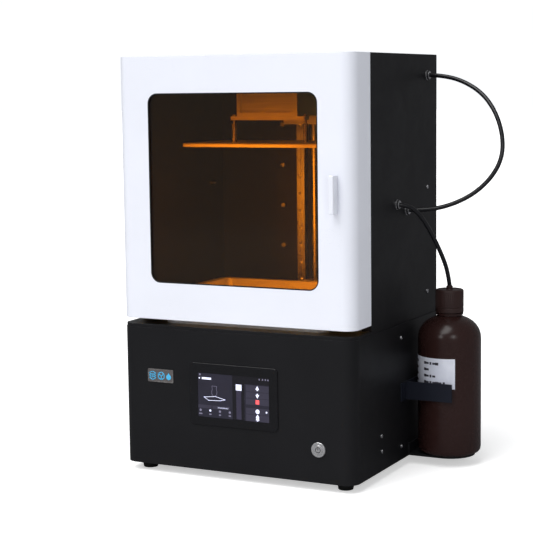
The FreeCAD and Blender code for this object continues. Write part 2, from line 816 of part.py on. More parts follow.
def hinge_leaf_shape(bottom, bands, side):
    """One hinge leaf: a plate on the wall, with necks and knuckles in its own bands."""
    plate_x = (-half_width - hinge_leaf, -half_width)
    clear = knuckle_radius + 1.0
    if side > 0:
        plate_y = (hinge_y + clear, hinge_y + clear + hinge_leaf_width)
        neck_y = (hinge_y, hinge_y + clear + 0.5)
    else:
        plate_y = (hinge_y - clear - hinge_leaf_width, hinge_y - clear)
        neck_y = (hinge_y - clear - 0.5, hinge_y)
    parts = [slab(plate_x, plate_y, (bottom, bottom + hinge_height), 2.0, x_way)]
    for low, high in bands:
        parts.append(rod(knuckle_radius, (hinge_x, hinge_y, low), (hinge_x, hinge_y, high)))
        parts.append(block(plate_x, neck_y, (low, high)))
    leaf = joined(parts)
    return leaf.cut(rod(hinge_pin_radius + running_fit, (hinge_x, hinge_y, bottom - 1),
                        (hinge_x, hinge_y, bottom + hinge_height + 1)))


def hinge_fixed_leaves():
    """The cabinet's half of both hinges."""
    leaves = []
    for bottom in hinge_heights:
        low, moving, high = knuckle_bands(bottom)
        leaves.append(hinge_leaf_shape(bottom, (low, high), 1))
    return Part.makeCompound(leaves)


def hinge_door_leaves():
    """The door's half of both hinges."""
    leaves = []
    for bottom in hinge_heights:
        low, moving, high = knuckle_bands(bottom)
        leaves.append(hinge_leaf_shape(bottom, (moving,), -1))
    return Part.makeCompound(leaves)


def hinge_pins():
    """Both hinges' pins, each with a small head."""
    pins = []
    for bottom in hinge_heights:
        top = bottom + hinge_height
        pin = rod(hinge_pin_radius, (hinge_x, hinge_y, bottom), (hinge_x, hinge_y, top))
        head = rod(3.4, (hinge_x, hinge_y, top), (hinge_x, hinge_y, top + 1.6))
        pins.append(joined([pin, head]))
    return Part.makeCompound(pins)


# ------------------------------------------------------------------ door
def door_shell():
    """The white door: a shallow tray with rounded upright corners and the window's opening."""
    z = (door_bottom, body_height)
    outer = front_rounded(half_width, (0, door_depth), z, corner_radius)
    rim = [edge for edge in outer.Edges
           if edge.CenterOfMass.z > body_height - 0.01 or edge.CenterOfMass.z < door_bottom + 0.01]
    rim = [edge for edge in rim if edge.CenterOfMass.y < door_depth - 1.0]
    outer = outer.makeFillet(1.0, rim)
    inner = front_rounded(half_width - door_wall, (door_wall, door_depth + 1),
                          (door_bottom + door_wall, body_height - door_wall), corner_radius - door_wall)
    shell = outer.cut(inner)
    mouth = block((-half_width + door_wall, half_width - door_wall), (door_lip, door_depth + 1),
                  (door_bottom - 1, door_bottom + door_wall + 0.1))
    window = slab((-window_half_width, window_half_width), (-1, door_wall + 1), (window_bottom, window_top),
                  window_radius, y_way)
    return shell.cut([mouth, window])


def window_seal():
    """The thin rubber line round the window's edge."""
    outer = slab((-window_half_width, window_half_width), (0.3, door_wall), (window_bottom, window_top),
                 window_radius, y_way)
    inner = slab((-window_half_width + seal_width, window_half_width - seal_width), (-1, door_wall + 1),
                 (window_bottom + seal_width, window_top - seal_width), window_radius - seal_width, y_way)
    return outer.cut(inner)


def window_pane():
    """The tinted sheet behind the window's opening."""
    reach = window_half_width + window_lap
    return slab((-reach, reach), (door_wall, door_wall + pane_thickness),
                (window_bottom - window_lap, window_top + window_lap), window_radius, y_way)


def door_handle():
    """The upright pull near the door's free edge."""
    right = half_width - handle_from_side
    handle = slab((right - handle_width, right), (-handle_depth, 0),
                  (handle_bottom, handle_bottom + handle_height), 2.0, x_way)
    front = along(handle, z_way, lambda p: p.y < -handle_depth + 1)
    return handle.makeFillet(1.5, front)


def door_magnets():
    """Two magnets inside the door's free side, against the cabinet's flange."""
    inner = half_width - door_wall
    magnets = [block((inner - 8, inner), (door_depth - 8, door_depth - 0.4), (z, z + 30))
               for z in (door_bottom + 50, body_height - 90)]
    return Part.makeCompound(magnets)


# ------------------------------------------------------------------ vertical axis
def z_column():
    """The back plate of the vertical axis with its two stiffening edges."""
    plate = block((-column_half_width, column_half_width), (column_front, column_back),
                  (deck_top, column_top))
    edge = block((column_half_width - 8, column_half_width), (column_back - 1, cabinet_back_front),
                 (deck_top, column_top))
    holes = []
    for z in column_screw_heights:
        for x in (-column_screw_x, column_screw_x):
            holes.append(rod(column_screw_shank + running_fit, (x, column_front - 1, z),
                             (x, column_back + 1, z)))
    return joined([plate, edge, mirrored(edge)]).cut(Part.makeCompound(holes))


rail_bottom = low_bearing_bottom
rail_top = column_top - 8.0


def linear_rails():
    """Two guide rails with countersunk fixing holes."""
    rails = []
    for x in (-rail_offset, rail_offset):
        rail = block((x - rail_width / 2, x + rail_width / 2), (rail_front, rail_back),
                     (rail_bottom, rail_top))
        holes = []
        count = int((rail_top - rail_bottom - 20) // 25)
        for number in range(count + 1):
            z = rail_bottom + 12.0 + number * 25.0
            holes.append(rod(3.0, (x, rail_front - 1, z), (x, rail_front + 4.5, z)))
        rails.append(rail.cut(Part.makeCompound(holes)))
    return Part.makeCompound(rails)


def rail_blocks():
    """The two runner blocks that slide on the rails."""
    blocks = []
    for x in (-rail_offset, rail_offset):
        half = block_width / 2
        z = (carriage_middle - block_length / 2, carriage_middle + block_length / 2)
        runner = block((x - half, x + half), (block_front, rail_back - 3.0), z)
        way = block((x - rail_width / 2 - slide_fit, x + rail_width / 2 + slide_fit),
                    (rail_front - slide_fit, rail_back), (z[0] - 1, z[1] + 1))
        blocks.append(runner.cut(way))
    return Part.makeCompound(blocks)


def lead_screw():
    """The screw that lifts the carriage, with a journal at each end."""
    parts = [
        rod(screw_journal_radius, (0, screw_y, coupler_bottom + 10.0), (0, screw_y, low_bearing_top + 1.0)),
        rod(screw_radius, (0, screw_y, low_bearing_top + 0.5), (0, screw_y, high_bearing_bottom - 0.5)),
        rod(screw_journal_radius, (0, screw_y, high_bearing_bottom - 1.0),
            (0, screw_y, high_bearing_top - 0.5)),
    ]
    return joined(parts)


def screw_bearings():
    """The bearing blocks at the screw's foot and head."""
    hole = rod(screw_journal_radius + running_fit, (0, screw_y, deck_top), (0, screw_y, body_height))
    blocks = []
    for low, high in ((low_bearing_bottom, low_bearing_top), (high_bearing_bottom, high_bearing_top)):
        body = slab((-18, 18), (carriage_back + 2.0, column_front), (low, high), 4.0, z_way)
        blocks.append(body.cut(hole))
    return Part.makeCompound(blocks)


def z_motor():
    """The square stepper motor under the deck, with its boss and shaft."""
    half = motor_side / 2
    body = slab((-half, half), (screw_y - half, screw_y + half), (deck_bottom - motor_length, deck_bottom),
                4.0, z_way)
    boss = rod(motor_boss_radius, (0, screw_y, deck_bottom - 0.5), (0, screw_y, deck_bottom + 2.0))
    shaft = rod(motor_shaft_radius, (0, screw_y, deck_bottom), (0, screw_y, coupler_bottom + 9.0))
    return joined([body, boss, shaft])


def shaft_coupler():
    """The clamp coupling between the motor's shaft and the screw."""
    body = rod(9.5, (0, screw_y, coupler_bottom), (0, screw_y, coupler_top))
    shaft_bore = rod(motor_shaft_radius + running_fit, (0, screw_y, coupler_bottom - 1),
                     (0, screw_y, coupler_bottom + 10))
    screw_bore = rod(screw_journal_radius, (0, screw_y, coupler_bottom + 10), (0, screw_y, coupler_top + 1))
    return body.cut([shaft_bore, screw_bore])


def carriage_plate():
    """The carriage: front plate, two pads on the runner blocks and the nut's bracket."""
    z = (carriage_bottom, carriage_top)
    pad_z = (carriage_middle - block_length / 2, carriage_middle + block_length / 2)
    plate = block((-carriage_half_width, carriage_half_width), (carriage_front, carriage_back), z)
    pad = block((pad_inner, carriage_half_width), (carriage_back - 1, block_front), pad_z)
    bracket = block((-pad_inner - 1, pad_inner + 1), (carriage_back - 1, screw_y + nut_flange_radius),
                    (nut_z + 4, nut_z + 10))
    bore = rod(nut_body_radius + running_fit, (0, screw_y, nut_z), (0, screw_y, nut_z + 12))
    runner_room = [
        block((x - block_width / 2 - slide_fit, x + block_width / 2 + slide_fit), (block_front, rail_back),
              (pad_z[0] - 1, pad_z[1] + 1))
        for x in (-rail_offset, rail_offset)
    ]
    return joined([plate, pad, mirrored(pad), bracket]).cut([bore] + runner_room)


def screw_nut():
    """The flanged nut that rides the screw."""
    flange = rod(nut_flange_radius, (0, screw_y, nut_z), (0, screw_y, nut_z + 4))
    body = rod(nut_body_radius, (0, screw_y, nut_z + 3), (0, screw_y, nut_z + 24))
    bore = rod(screw_radius + running_fit, (0, screw_y, nut_z - 1), (0, screw_y, nut_z + 25))
    return joined([flange, body]).cut(bore)


arm_front = platform_y - 2.0
arm_rise_y = platform_y + vat_half_depth - 12.0


def platform_arm():
    """The boxed arm from the carriage out over the platform's middle."""
    z = (arm_bottom, arm_top)
    side = block((arm_half_width - arm_wall, arm_half_width), (arm_front - 6, carriage_front), z)
    floor = block((-arm_half_width + 1, arm_half_width - 1), (arm_front - 6, arm_rise_y),
                  (z[0], z[0] + arm_wall))
    web = block((-arm_half_width + 1, arm_half_width - 1), (arm_front - 1, arm_front + 3), z)
    top = block((-arm_half_width + 1, arm_half_width - 1), (arm_front - 1, platform_y + 40),
                (z[1] - arm_wall, z[1]))
    root = block((-arm_half_width + 1, arm_half_width - 1), (carriage_front - 6, carriage_front), z)
    arm = joined([side, mirrored(side), floor, web, top, root])
    rise = block((-arm_half_width - 1, arm_half_width + 1), (arm_rise_y, carriage_front + 1),
                 (z[0] - 1, z[0] + arm_step))
    stem_y = platform_y + platform_knob_back
    stem = rod(platform_knob_stem + slide_fit, (0, stem_y, z[0] - 1), (0, stem_y, z[1] + 1))
    return arm.cut([rise, stem])


def platform_crossbar():
    """The bar under the arm that carries the two posts."""
    half = crossbar_length / 2
    bar = slab((-half, half), (platform_y - crossbar_depth / 2, platform_y + crossbar_depth / 2),
               (crossbar_bottom, crossbar_top), 2.5, z_way)
    holes = [rod(post_stud + running_fit, (x, platform_y, crossbar_bottom - 1),
                 (x, platform_y, crossbar_top + 1))
             for x in (-post_spacing / 2, post_spacing / 2)]
    return bar.cut(holes)


def levelling_posts():
    """The posts between crossbar and plate, each with its screw through the bar."""
    posts = []
    for x in (-post_spacing / 2, post_spacing / 2):
        post = rod(post_radius, (x, platform_y, plate_top), (x, platform_y, plate_top + post_length))
        stud = rod(post_stud, (x, platform_y, plate_top + post_length - 1),
                   (x, platform_y, crossbar_top + 0.5))
        head = rod(2.7, (x, platform_y, crossbar_top), (x, platform_y, crossbar_top + 2.6))
        posts.append(joined([post, stud, head]))
    return Part.makeCompound(posts)


def build_plate():
    """The flat plate that prints grow on."""
    plate = slab((-plate_width / 2, plate_width / 2),
                 (platform_y - plate_depth / 2, platform_y + plate_depth / 2),
                 (plate_top - plate_thickness, plate_top), 3.0, z_way)
    rim = [edge for edge in plate.Edges if edge.CenterOfMass.z > plate_top - 0.01]
    return plate.makeChamfer(1.0, rim)


def lobed_knob(centre, bottom, top, radius, lobes):
    """A turning knob with shallow finger hollows round it."""
    x, y = centre
    knob = rod(radius, (x, y, bottom), (x, y, top))
    rim = [edge for edge in knob.Edges if edge.CenterOfMass.z > top - 0.01]
    knob = knob.makeFillet(1.5, rim)
    hollows = []
    for number in range(lobes):
        turn = 2 * math.pi * number / lobes
        away = radius * 1.16
        hollows.append(rod(radius * 0.27, (x + away * math.cos(turn), y + away * math.sin(turn), bottom - 1),
                           (x + away * math.cos(turn), y + away * math.sin(turn), top + 1)))
    return knob.cut(Part.makeCompound(hollows))


def platform_knob():
    """The knob on the arm that frees the platform, with its stem down to the crossbar's level."""
    centre = (0.0, platform_y + platform_knob_back)
    bottom = arm_top + 1.5
    knob = lobed_knob(centre, bottom, bottom + platform_knob_height, platform_knob_radius, 6)
    stem = rod(platform_knob_stem, (*centre, arm_bottom + 0.5), (*centre, bottom + 1))
    return joined([knob, stem])


# ------------------------------------------------------------------ vat
def vat_body():
    """The resin vat: a deep frame with two ears for its thumbscrews."""
    outer = slab((-vat_outer_half_width, vat_outer_half_width),
                 (platform_y - vat_outer_half_depth, platform_y + vat_outer_half_depth),
                 (deck_top, vat_top), vat_radius + 4, z_way)
    top_rim = [edge for edge in outer.Edges if edge.CenterOfMass.z > vat_top - 0.01]
    outer = outer.makeChamfer(0.8, top_rim)
    ear = slab((vat_outer_half_width - 4, vat_outer_half_width + vat_ear_length),
               (platform_y - vat_ear_width / 2, platform_y + vat_ear_width / 2), (deck_top,
                                                                                  vat_ear_top), 5.0, z_way)
    body = joined([outer, ear, mirrored(ear)])
    cavity = slab((-vat_half_width, vat_half_width),
                  (platform_y - vat_half_depth, platform_y + vat_half_depth),
                  (film_top + 3.0, vat_top + 1), vat_radius, z_way)
    light = slab((-vat_half_width + 5, vat_half_width - 5),
                 (platform_y - vat_half_depth + 8, platform_y + vat_half_depth - 8),
                 (deck_top - 1, vat_top), vat_radius - 3, z_way)
    film_seat = block((-vat_half_width - 4, vat_half_width + 4),
                      (platform_y - vat_half_depth - 4, platform_y + vat_half_depth + 4),
                      (deck_top - 1, film_top))
    thumb = vat_knob_holes(vat_knob_stem + running_fit, deck_top - 1, vat_ear_top + 1)
    return body.cut([cavity, light, film_seat] + thumb)


def vat_film():
    """The clear film stretched under the vat."""
    return block((-vat_half_width - 3.5, vat_half_width + 3.5),
                 (platform_y - vat_half_depth - 3.5, platform_y + vat_half_depth + 3.5),
                 (film_bottom, film_top))


def vat_knob():
    """The right-hand thumbscrew of the vat."""
    bottom = vat_ear_top + 0.4
    knob = lobed_knob((vat_knob_x, platform_y), bottom, bottom + vat_knob_height, vat_knob_radius, 8)
    stem = rod(vat_knob_stem, (vat_knob_x, platform_y, deck_bottom + 1), (vat_knob_x, platform_y, bottom + 1))
    return joined([knob, stem])


# ------------------------------------------------------------------ resin feed
def tube_ports():
    """The three ports where hoses enter the right wall."""
    ports = []
    for y, z in port_points():
        flange = rod(port_radius, (half_width, y, z), (half_width + port_length, y, z))
        rim = [edge for edge in flange.Edges if edge.CenterOfMass.x > half_width + port_length - 0.1]
        flange = flange.makeFillet(1.0, rim)
        sleeve = rod(port_sleeve_radius, (half_width - 6, y, z), (half_width + 1, y, z))
        nut = rod(port_radius + 1.0, (half_width - cabinet_wall - 3, y, z), (half_width - cabinet_wall, y, z))
        ports.append(joined([flange, sleeve, nut]))
    return Part.makeCompound(ports)


pump_y = (bottle_port[0] + loop_low_port[0]) / 2
pump_z = (bottle_port[1] + loop_low_port[1]) / 2 - 6.0
pump_outer = half_width - cabinet_wall - 7.0


def pump_at(x):
    """The pump's axis at one place across the housing."""
    return (x, pump_y, pump_z)


def pump_housing():
    """The squeeze pump's drum and motor on the inner side of the right wall."""
    inner = pump_outer - pump_depth
    drum = rod(pump_radius, pump_at(inner), pump_at(pump_outer))
    motor = rod(pump_motor_radius, pump_at(inner - pump_motor_length), pump_at(inner + 1))
    hollow = rod(pump_radius - pump_wall, pump_at(inner + 3.0), pump_at(pump_outer + 1))
    axle = rod(3.0 + running_fit, pump_at(inner - 5), pump_at(pump_outer))
    parts = [drum, motor]
    for number in range(4):
        turn = math.pi * number / 2
        y = pump_y + (pump_radius - pump_wall / 2) * math.cos(turn)
        z = pump_z + (pump_radius - pump_wall / 2) * math.sin(turn)
        parts.append(rod(pump_wall / 2 - 0.1, (pump_outer - 1, y, z), (half_width - cabinet_wall, y, z)))
    return joined(parts).cut([hollow, axle])


def pump_rotor():
    """The pump's rotor: a hub with three rollers and its axle."""
    left = pump_outer - pump_depth + 4.0
    right = pump_outer - 2.0
    parts = [rod(13.0, pump_at(left), pump_at(right)), rod(3.0, pump_at(left - 5.0), pump_at(left + 1))]
    for number in range(3):
        turn = 2 * math.pi * number / 3
        y = pump_y + roller_circle * math.cos(turn)
        z = pump_z + roller_circle * math.sin(turn)
        parts.append(rod(roller_radius, (left + 1, y, z), (right - 1, y, z)))
    return joined(parts)


spout_x = plate_width / 2 + 3.5
spout_y = platform_y + vat_half_depth - 7.0
feed_pipe_x = half_width - cabinet_wall - 16.0
pipe_corner_z = vat_top + vat_lift + pipe_above_lifted_vat
feed_route = [
    (half_width - 6.0, loop_high_port[0], loop_high_port[1]),
    (feed_pipe_x, loop_high_port[0], loop_high_port[1]),
    (feed_pipe_x, loop_high_port[0], pipe_corner_z),
    (spout_x, spout_y, pipe_corner_z - pipe_fall),
    (spout_x, spout_y, vat_top + spout_above_vat),
]


def feed_pipe():
    """The rigid pipe from the upper port down to the vat's back corner."""
    return hose(feed_route, hose_radius, "feed_pipe")


def bottle_shelf():
    """The thin round-ended shelf under the bottle, with an upright flange on the wall."""
    low = shelf_level
    high = shelf_level + shelf_thickness
    tongue = block((half_width, bottle_x), (bottle_y - shelf_radius, bottle_y + shelf_radius), (low, high))
    end = rod(shelf_radius, (bottle_x, bottle_y, low), (bottle_x, bottle_y, high))
    flange = block((half_width, half_width + 2.0), (bottle_y - shelf_radius, bottle_y + shelf_radius),
                   (low, 18.0))
    return joined([tongue, end, flange])


def bottle_clamp():
    """The flat strap: a plate on the wall and two arms that hold the bottle between them."""
    z = (clamp_bottom, clamp_bottom + clamp_height)
    hold = bottle_radius + bottle_gap
    front = bottle_y - hold
    back = bottle_y + hold
    plate = block((half_width, half_width + clamp_strap), (front - 19.0, back + 19.0), z)
    arm_front_side = block((half_width, bottle_x + clamp_past_middle), (front - clamp_strap, front), z)
    arm_back_side = block((half_width, bottle_x + clamp_past_middle), (back, back + clamp_strap), z)
    return joined([plate, arm_front_side, arm_back_side])


def bottle_profile(inset, top):
    """The bottle's outline, set in by a wall, up to a height of its neck."""
    base = bottle_bottom + inset
    side = bottle_radius - inset
    neck = bottle_neck_radius - inset
    foot = 9.0 - inset
    corner = foot * (1 - math.sqrt(0.5))
    neck_start = bottle_neck_height - 6.0 - inset
    axis_low = Vector(0, 0, base)
    foot_start = Vector(side - foot, 0, base)
    foot_middle = Vector(side - corner, 0, base + corner)
    foot_end = Vector(side, 0, base + foot)
    shoulder_start = Vector(side, 0, bottle_shoulder + shelf_level + shelf_thickness)
    shoulder_middle = Vector(side - 9.5, 0,
                             bottle_shoulder + shelf_level + shelf_thickness + 16.5 - inset * 0.4)
    shoulder_end = Vector(neck, 0, neck_start)
    neck_top = Vector(neck, 0, top)
    axis_high = Vector(0, 0, top)
    edges = [
        Part.LineSegment(axis_low, foot_start).toShape(),
        Part.Arc(foot_start, foot_middle, foot_end).toShape(),
        Part.LineSegment(foot_end, shoulder_start).toShape(),
        Part.Arc(shoulder_start, shoulder_middle, shoulder_end).toShape(),
        Part.LineSegment(shoulder_end, neck_top).toShape(),
        Part.LineSegment(neck_top, axis_high).toShape(),
        Part.LineSegment(axis_high, axis_low).toShape(),
    ]
    turned = Part.Face(Part.Wire(edges)).revolve(Vector(0, 0, 0), z_way, 360)
    turned.translate(Vector(bottle_x, bottle_y, 0))
    return turned


def bottle():
    """The resin bottle: a hollow shell with rounded foot and shoulder and an open neck."""
    outer = bottle_profile(0.0, bottle_mouth)
    inner = bottle_profile(bottle_wall, bottle_mouth + 4.0)
    return outer.cut(inner)


def bottle_at(z):
    """The bottle's axis at one height."""
    return (bottle_x, bottle_y, z)


def bottle_cap():
    """The screw cap with its hose nipple on top and the pick-up pipe down into the bottle."""
    low = bottle_neck_height + 2.0
    cap = rod(cap_radius, bottle_at(low), bottle_at(cap_top))
    rim = [edge for edge in cap.Edges if edge.CenterOfMass.z > cap_top - 0.01]
    cap = cap.makeFillet(1.5, rim)
    hollow = rod(bottle_neck_radius + loose_fit, bottle_at(low - 1), bottle_at(bottle_mouth + loose_fit))
    ridges = []
    for number in range(36):
        turn = 2 * math.pi * number / 36
        x = bottle_x + (cap_radius + 0.25) * math.cos(turn)
        y = bottle_y + (cap_radius + 0.25) * math.sin(turn)
        ridges.append(rod(0.55, (x, y, low + 3.0), (x, y, cap_top + 1)))
    nipple = rod(hose_radius + 1.5, bottle_at(cap_top - 1), bottle_at(cap_top + 5.0))
    pipe = rod(hose_radius, bottle_at(bottle_bottom + 8.0), bottle_at(cap_top - 1))
    return joined([cap.cut([hollow] + ridges), nipple, pipe])


# ------------------------------------------------------------------ every sub-part
builders = [
    base_shell, base_floor, base_feet, base_back_panel, deck_plate, mask_screen, light_frame, lens_plate,
    led_board, heatsink, fan_frame, fan_rotor, mainboard, power_supply, power_inlet, power_rocker, usb_port,
    display_bezel, display_panel, button_ring, button_cap, housing_screws, cabinet_shell, cabinet_back,
    hinge_fixed_leaves, hinge_door_leaves, hinge_pins, door_shell, window_seal, window_pane, door_handle,
    door_magnets, z_column, linear_rails, rail_blocks, lead_screw, screw_bearings, z_motor, shaft_coupler,
    carriage_plate, screw_nut, platform_arm, platform_crossbar, levelling_posts, build_plate, platform_knob,
    vat_body, vat_film, tube_ports, pump_housing, pump_rotor, feed_pipe, bottle_shelf, bottle_clamp, bottle,
    bottle_cap,
]

for builder in builders:
    save(builder.__name__, builder())
save("vat_knob_right", vat_knob())
save("vat_knob_left", mirrored(vat_knob()))
save("loop_tube", hose(loop_route, hose_radius, "loop_tube"))
save("bottle_tube", hose(bottle_route, hose_radius, "bottle_tube"))
print("to_frame", to_frame)
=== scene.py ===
import json
import math
import bmesh
import bpy
from mathutils import Matrix, Vector


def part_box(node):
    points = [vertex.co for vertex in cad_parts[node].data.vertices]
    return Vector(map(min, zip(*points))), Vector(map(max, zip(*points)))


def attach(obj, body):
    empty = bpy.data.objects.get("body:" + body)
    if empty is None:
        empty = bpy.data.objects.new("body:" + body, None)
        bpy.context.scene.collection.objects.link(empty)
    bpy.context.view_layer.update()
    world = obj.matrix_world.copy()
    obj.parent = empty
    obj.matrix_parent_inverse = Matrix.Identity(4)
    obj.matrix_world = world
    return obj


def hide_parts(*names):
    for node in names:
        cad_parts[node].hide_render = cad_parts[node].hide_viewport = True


# A free-standing resin printer. Places are given in millimetres from the housing's front, at its
# middle and its bottom edge: X to the right, Y to the back, Z up. at() turns them into the
# scene's metres.

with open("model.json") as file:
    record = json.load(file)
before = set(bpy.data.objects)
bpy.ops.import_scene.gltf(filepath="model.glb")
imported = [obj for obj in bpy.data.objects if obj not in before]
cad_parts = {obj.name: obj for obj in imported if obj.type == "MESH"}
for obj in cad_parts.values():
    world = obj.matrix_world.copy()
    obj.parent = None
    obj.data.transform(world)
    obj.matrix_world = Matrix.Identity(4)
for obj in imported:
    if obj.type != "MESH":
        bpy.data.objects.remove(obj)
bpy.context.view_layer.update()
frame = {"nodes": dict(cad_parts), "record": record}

MM = 0.001
shell_low, shell_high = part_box("base_shell")
HOME = Vector(((shell_low.x + shell_high.x) / 2, shell_low.y, shell_low.z))


def at(x, y, z):
    """A place on the printer, in the scene's metres."""
    return HOME + Vector((x, y, z)) * MM


# ------------------------------------------------------------------ camera
def set_camera():
    """The camera stands in front of the printer, to its right, and looks slightly down."""
    yaw, pitch, roll = math.radians(27.07), math.radians(6.75), -0.0126
    back = Vector((math.sin(yaw) * math.cos(pitch), -math.cos(yaw) * math.cos(pitch), math.sin(pitch)))
    level_right = (-back).cross(Vector((0, 0, 1))).normalized()
    level_up = level_right.cross(-back)
    right = level_right * math.cos(roll) + level_up * math.sin(roll)
    up = level_up * math.cos(roll) - level_right * math.sin(roll)
    lens = bpy.data.cameras.new("camera")
    lens.lens = 101.98
    lens.sensor_width = 36
    lens.clip_start = 0.05
    lens.clip_end = 60
    camera = bpy.data.objects.new("camera", lens)
    bpy.context.scene.collection.objects.link(camera)
    turn = Matrix((right, up, back)).transposed().to_4x4()
    turn.translation = Vector((0.90355, -1.89215, 0.5267))
    camera.matrix_world = turn
    bpy.context.scene.camera = camera


set_camera()

# ------------------------------------------------------------------ hoses
LOOP_ROUTE = [
    (178.0, 260.0, 530.0),
    (200.0, 256.5, 529.0),
    (232.0, 249.0, 521.5),
    (264.0, 240.5, 504.0),
    (286.5, 231.5, 477.0),
    (298.5, 224.0, 445.0),
    (299.0, 218.0, 415.0),
    (285.0, 211.0, 388.0),
    (261.0, 203.5, 366.0),
    (230.0, 195.0, 351.5),
    (200.0, 187.5, 346.0),
    (178.0, 182.0, 346.0),
]
BOTTLE_ROUTE = [
    (223.0, 222.0, 239.0),
    (222.5, 217.0, 258.0),
    (218.5, 204.0, 283.0),
    (211.5, 187.0, 311.0),
    (204.5, 172.5, 333.0),
    (197.0, 161.5, 347.0),
    (188.0, 153.0, 354.5),
    (178.0, 147.5, 356.0),
]
HOSE_RADIUS = 3.0


def hose(name, route, node):
    """A stiff smooth hose that stands away from the wall between its two ends."""
    curve = bpy.data.curves.new(name, "CURVE")
    curve.dimensions = "3D"
    line = curve.splines.new("NURBS")
    line.points.add(len(route) - 1)
    for point, place in zip(line.points, route):
        point.co = (*at(*place), 1)
        point.radius = HOSE_RADIUS * MM
    line.order_u = 3
    line.use_endpoint_u = True
    line.resolution_u = 16
    curve.bevel_depth = 1.0
    curve.bevel_resolution = 8
    curve.use_fill_caps = True
    piece = bpy.data.objects.new(name, curve)
    bpy.context.scene.collection.objects.link(piece)
    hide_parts(node)
    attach(piece, "housing")
    return piece


loop_hose = hose("loop_hose", LOOP_ROUTE, "loop_tube")
bottle_hose = hose("bottle_hose", BOTTLE_ROUTE, "bottle_tube")


# ------------------------------------------------------------------ shader node groups
def lin(r, g, b):
    """A colour as eyes judge it, from 0 to 255, made into the shader's linear values."""
    return tuple(((v / 255 + 0.055) / 1.055) ** 2.4 if v > 10 else v / 255 / 12.92 for v in (r, g, b))


def new_group(name, inputs, outputs):
    """An empty node group with float inputs and named outputs."""
    group = bpy.data.node_groups.new(name, "ShaderNodeTree")
    for label, value in inputs:
        socket = group.interface.new_socket(label, in_out="INPUT", socket_type="NodeSocketFloat")
        socket.default_value = value
    for label, kind in outputs:
        group.interface.new_socket(label, in_out="OUTPUT", socket_type=kind)
    entry = group.nodes.new("NodeGroupInput")
    leave = group.nodes.new("NodeGroupOutput")
    return group, entry, leave


def add(tree, kind, **settings):
    """A node with its settings; names that are sockets set the socket's value."""
    node = tree.nodes.new(kind)
    for key, value in settings.items():
        if hasattr(node, key):
            setattr(node, key, value)
        else:
            node.inputs[key.replace("_", " ")].default_value = value
    return node


def sums(tree, operation, first, second=None, clamp=False):
    """A maths node; each side is a number or another node's output."""
    node = tree.nodes.new("ShaderNodeMath")
    node.operation = operation
    node.use_clamp = clamp
    for socket, side in zip(node.inputs, (first, second)):
        if side is None:
            continue
        if isinstance(side, (int, float)):
            socket.default_value = side
        else:
            tree.links.new(side, socket)
    return node.outputs[0]


def noise(tree, place, scale, detail=2.0, roughness=0.5):
    """Noise read at a place; the scale is a number or an output."""
    node = tree.nodes.new("ShaderNodeTexNoise")
    node.inputs["Detail"].default_value = detail
    node.inputs["Roughness"].default_value = roughness
    tree.links.new(place, node.inputs["Vector"])
    if isinstance(scale, (int, float)):
        node.inputs["Scale"].default_value = scale
    else:
        tree.links.new(scale, node.inputs["Scale"])
    return node.outputs["Fac"]


def spread(tree, value, low, high, new_low=0.0, new_high=1.0):
    """A value stretched from one range to another and held inside it."""
    node = tree.nodes.new("ShaderNodeMapRange")
    tree.links.new(value, node.inputs["Value"])
    for label, number in (("From Min", low), ("From Max", high), ("To Min", new_low), ("To Max", new_high)):
        node.inputs[label].default_value = number
    return node.outputs["Result"]


def build_grain():
    """Fine pebbled surface, as of powder coat or moulded plastic, with slow patches of tone."""
    group, entry, leave = new_group(
        "surface grain",
        [("Scale", 1400.0), ("Strength", 0.15), ("Patches", 9.0)],
        [("Tone", "NodeSocketFloat"), ("Pebble", "NodeSocketFloat"), ("Normal", "NodeSocketVector")])
    place = add(group, "ShaderNodeTexCoord").outputs["Object"]
    fine = noise(group, place, entry.outputs["Scale"], 3.0, 0.6)
    slow = noise(group, place, entry.outputs["Patches"], 3.0, 0.55)
    bump = add(group, "ShaderNodeBump", Distance=0.0002)
    group.links.new(entry.outputs["Strength"], bump.inputs["Strength"])
    group.links.new(fine, bump.inputs["Height"])
    group.links.new(spread(group, slow, 0.3, 0.7), leave.inputs["Tone"])
    group.links.new(spread(group, fine, 0.3, 0.7), leave.inputs["Pebble"])
    group.links.new(bump.outputs["Normal"], leave.inputs["Normal"])
    return group


def build_edge_wear_and_highlight():
    """Edges that stick out, for rubbed wear and for painted highlights along edges, broken up by noise."""
    group, entry, leave = new_group(
        "edge wear and highlight", [("Width", 0.0008), ("Amount", 0.5), ("Break", 260.0)], [("Mask", "NodeSocketFloat")])
    place = add(group, "ShaderNodeTexCoord").outputs["Object"]
    soft = add(group, "ShaderNodeBevel", samples=4)
    group.links.new(entry.outputs["Width"], soft.inputs["Radius"])
    plain = add(group, "ShaderNodeNewGeometry")
    dot = add(group, "ShaderNodeVectorMath", operation="DOT_PRODUCT")
    group.links.new(soft.outputs["Normal"], dot.inputs[0])
    group.links.new(plain.outputs["Normal"], dot.inputs[1])
    rim = spread(group, dot.outputs["Value"], 0.98, 0.75)
    broken = spread(group, noise(group, place, entry.outputs["Break"], 4.0, 0.6), 0.45, 0.62)
    mask = sums(group, "MULTIPLY", sums(group, "MULTIPLY", rim, broken), entry.outputs["Amount"], True)
    group.links.new(mask, leave.inputs["Mask"])
    return group


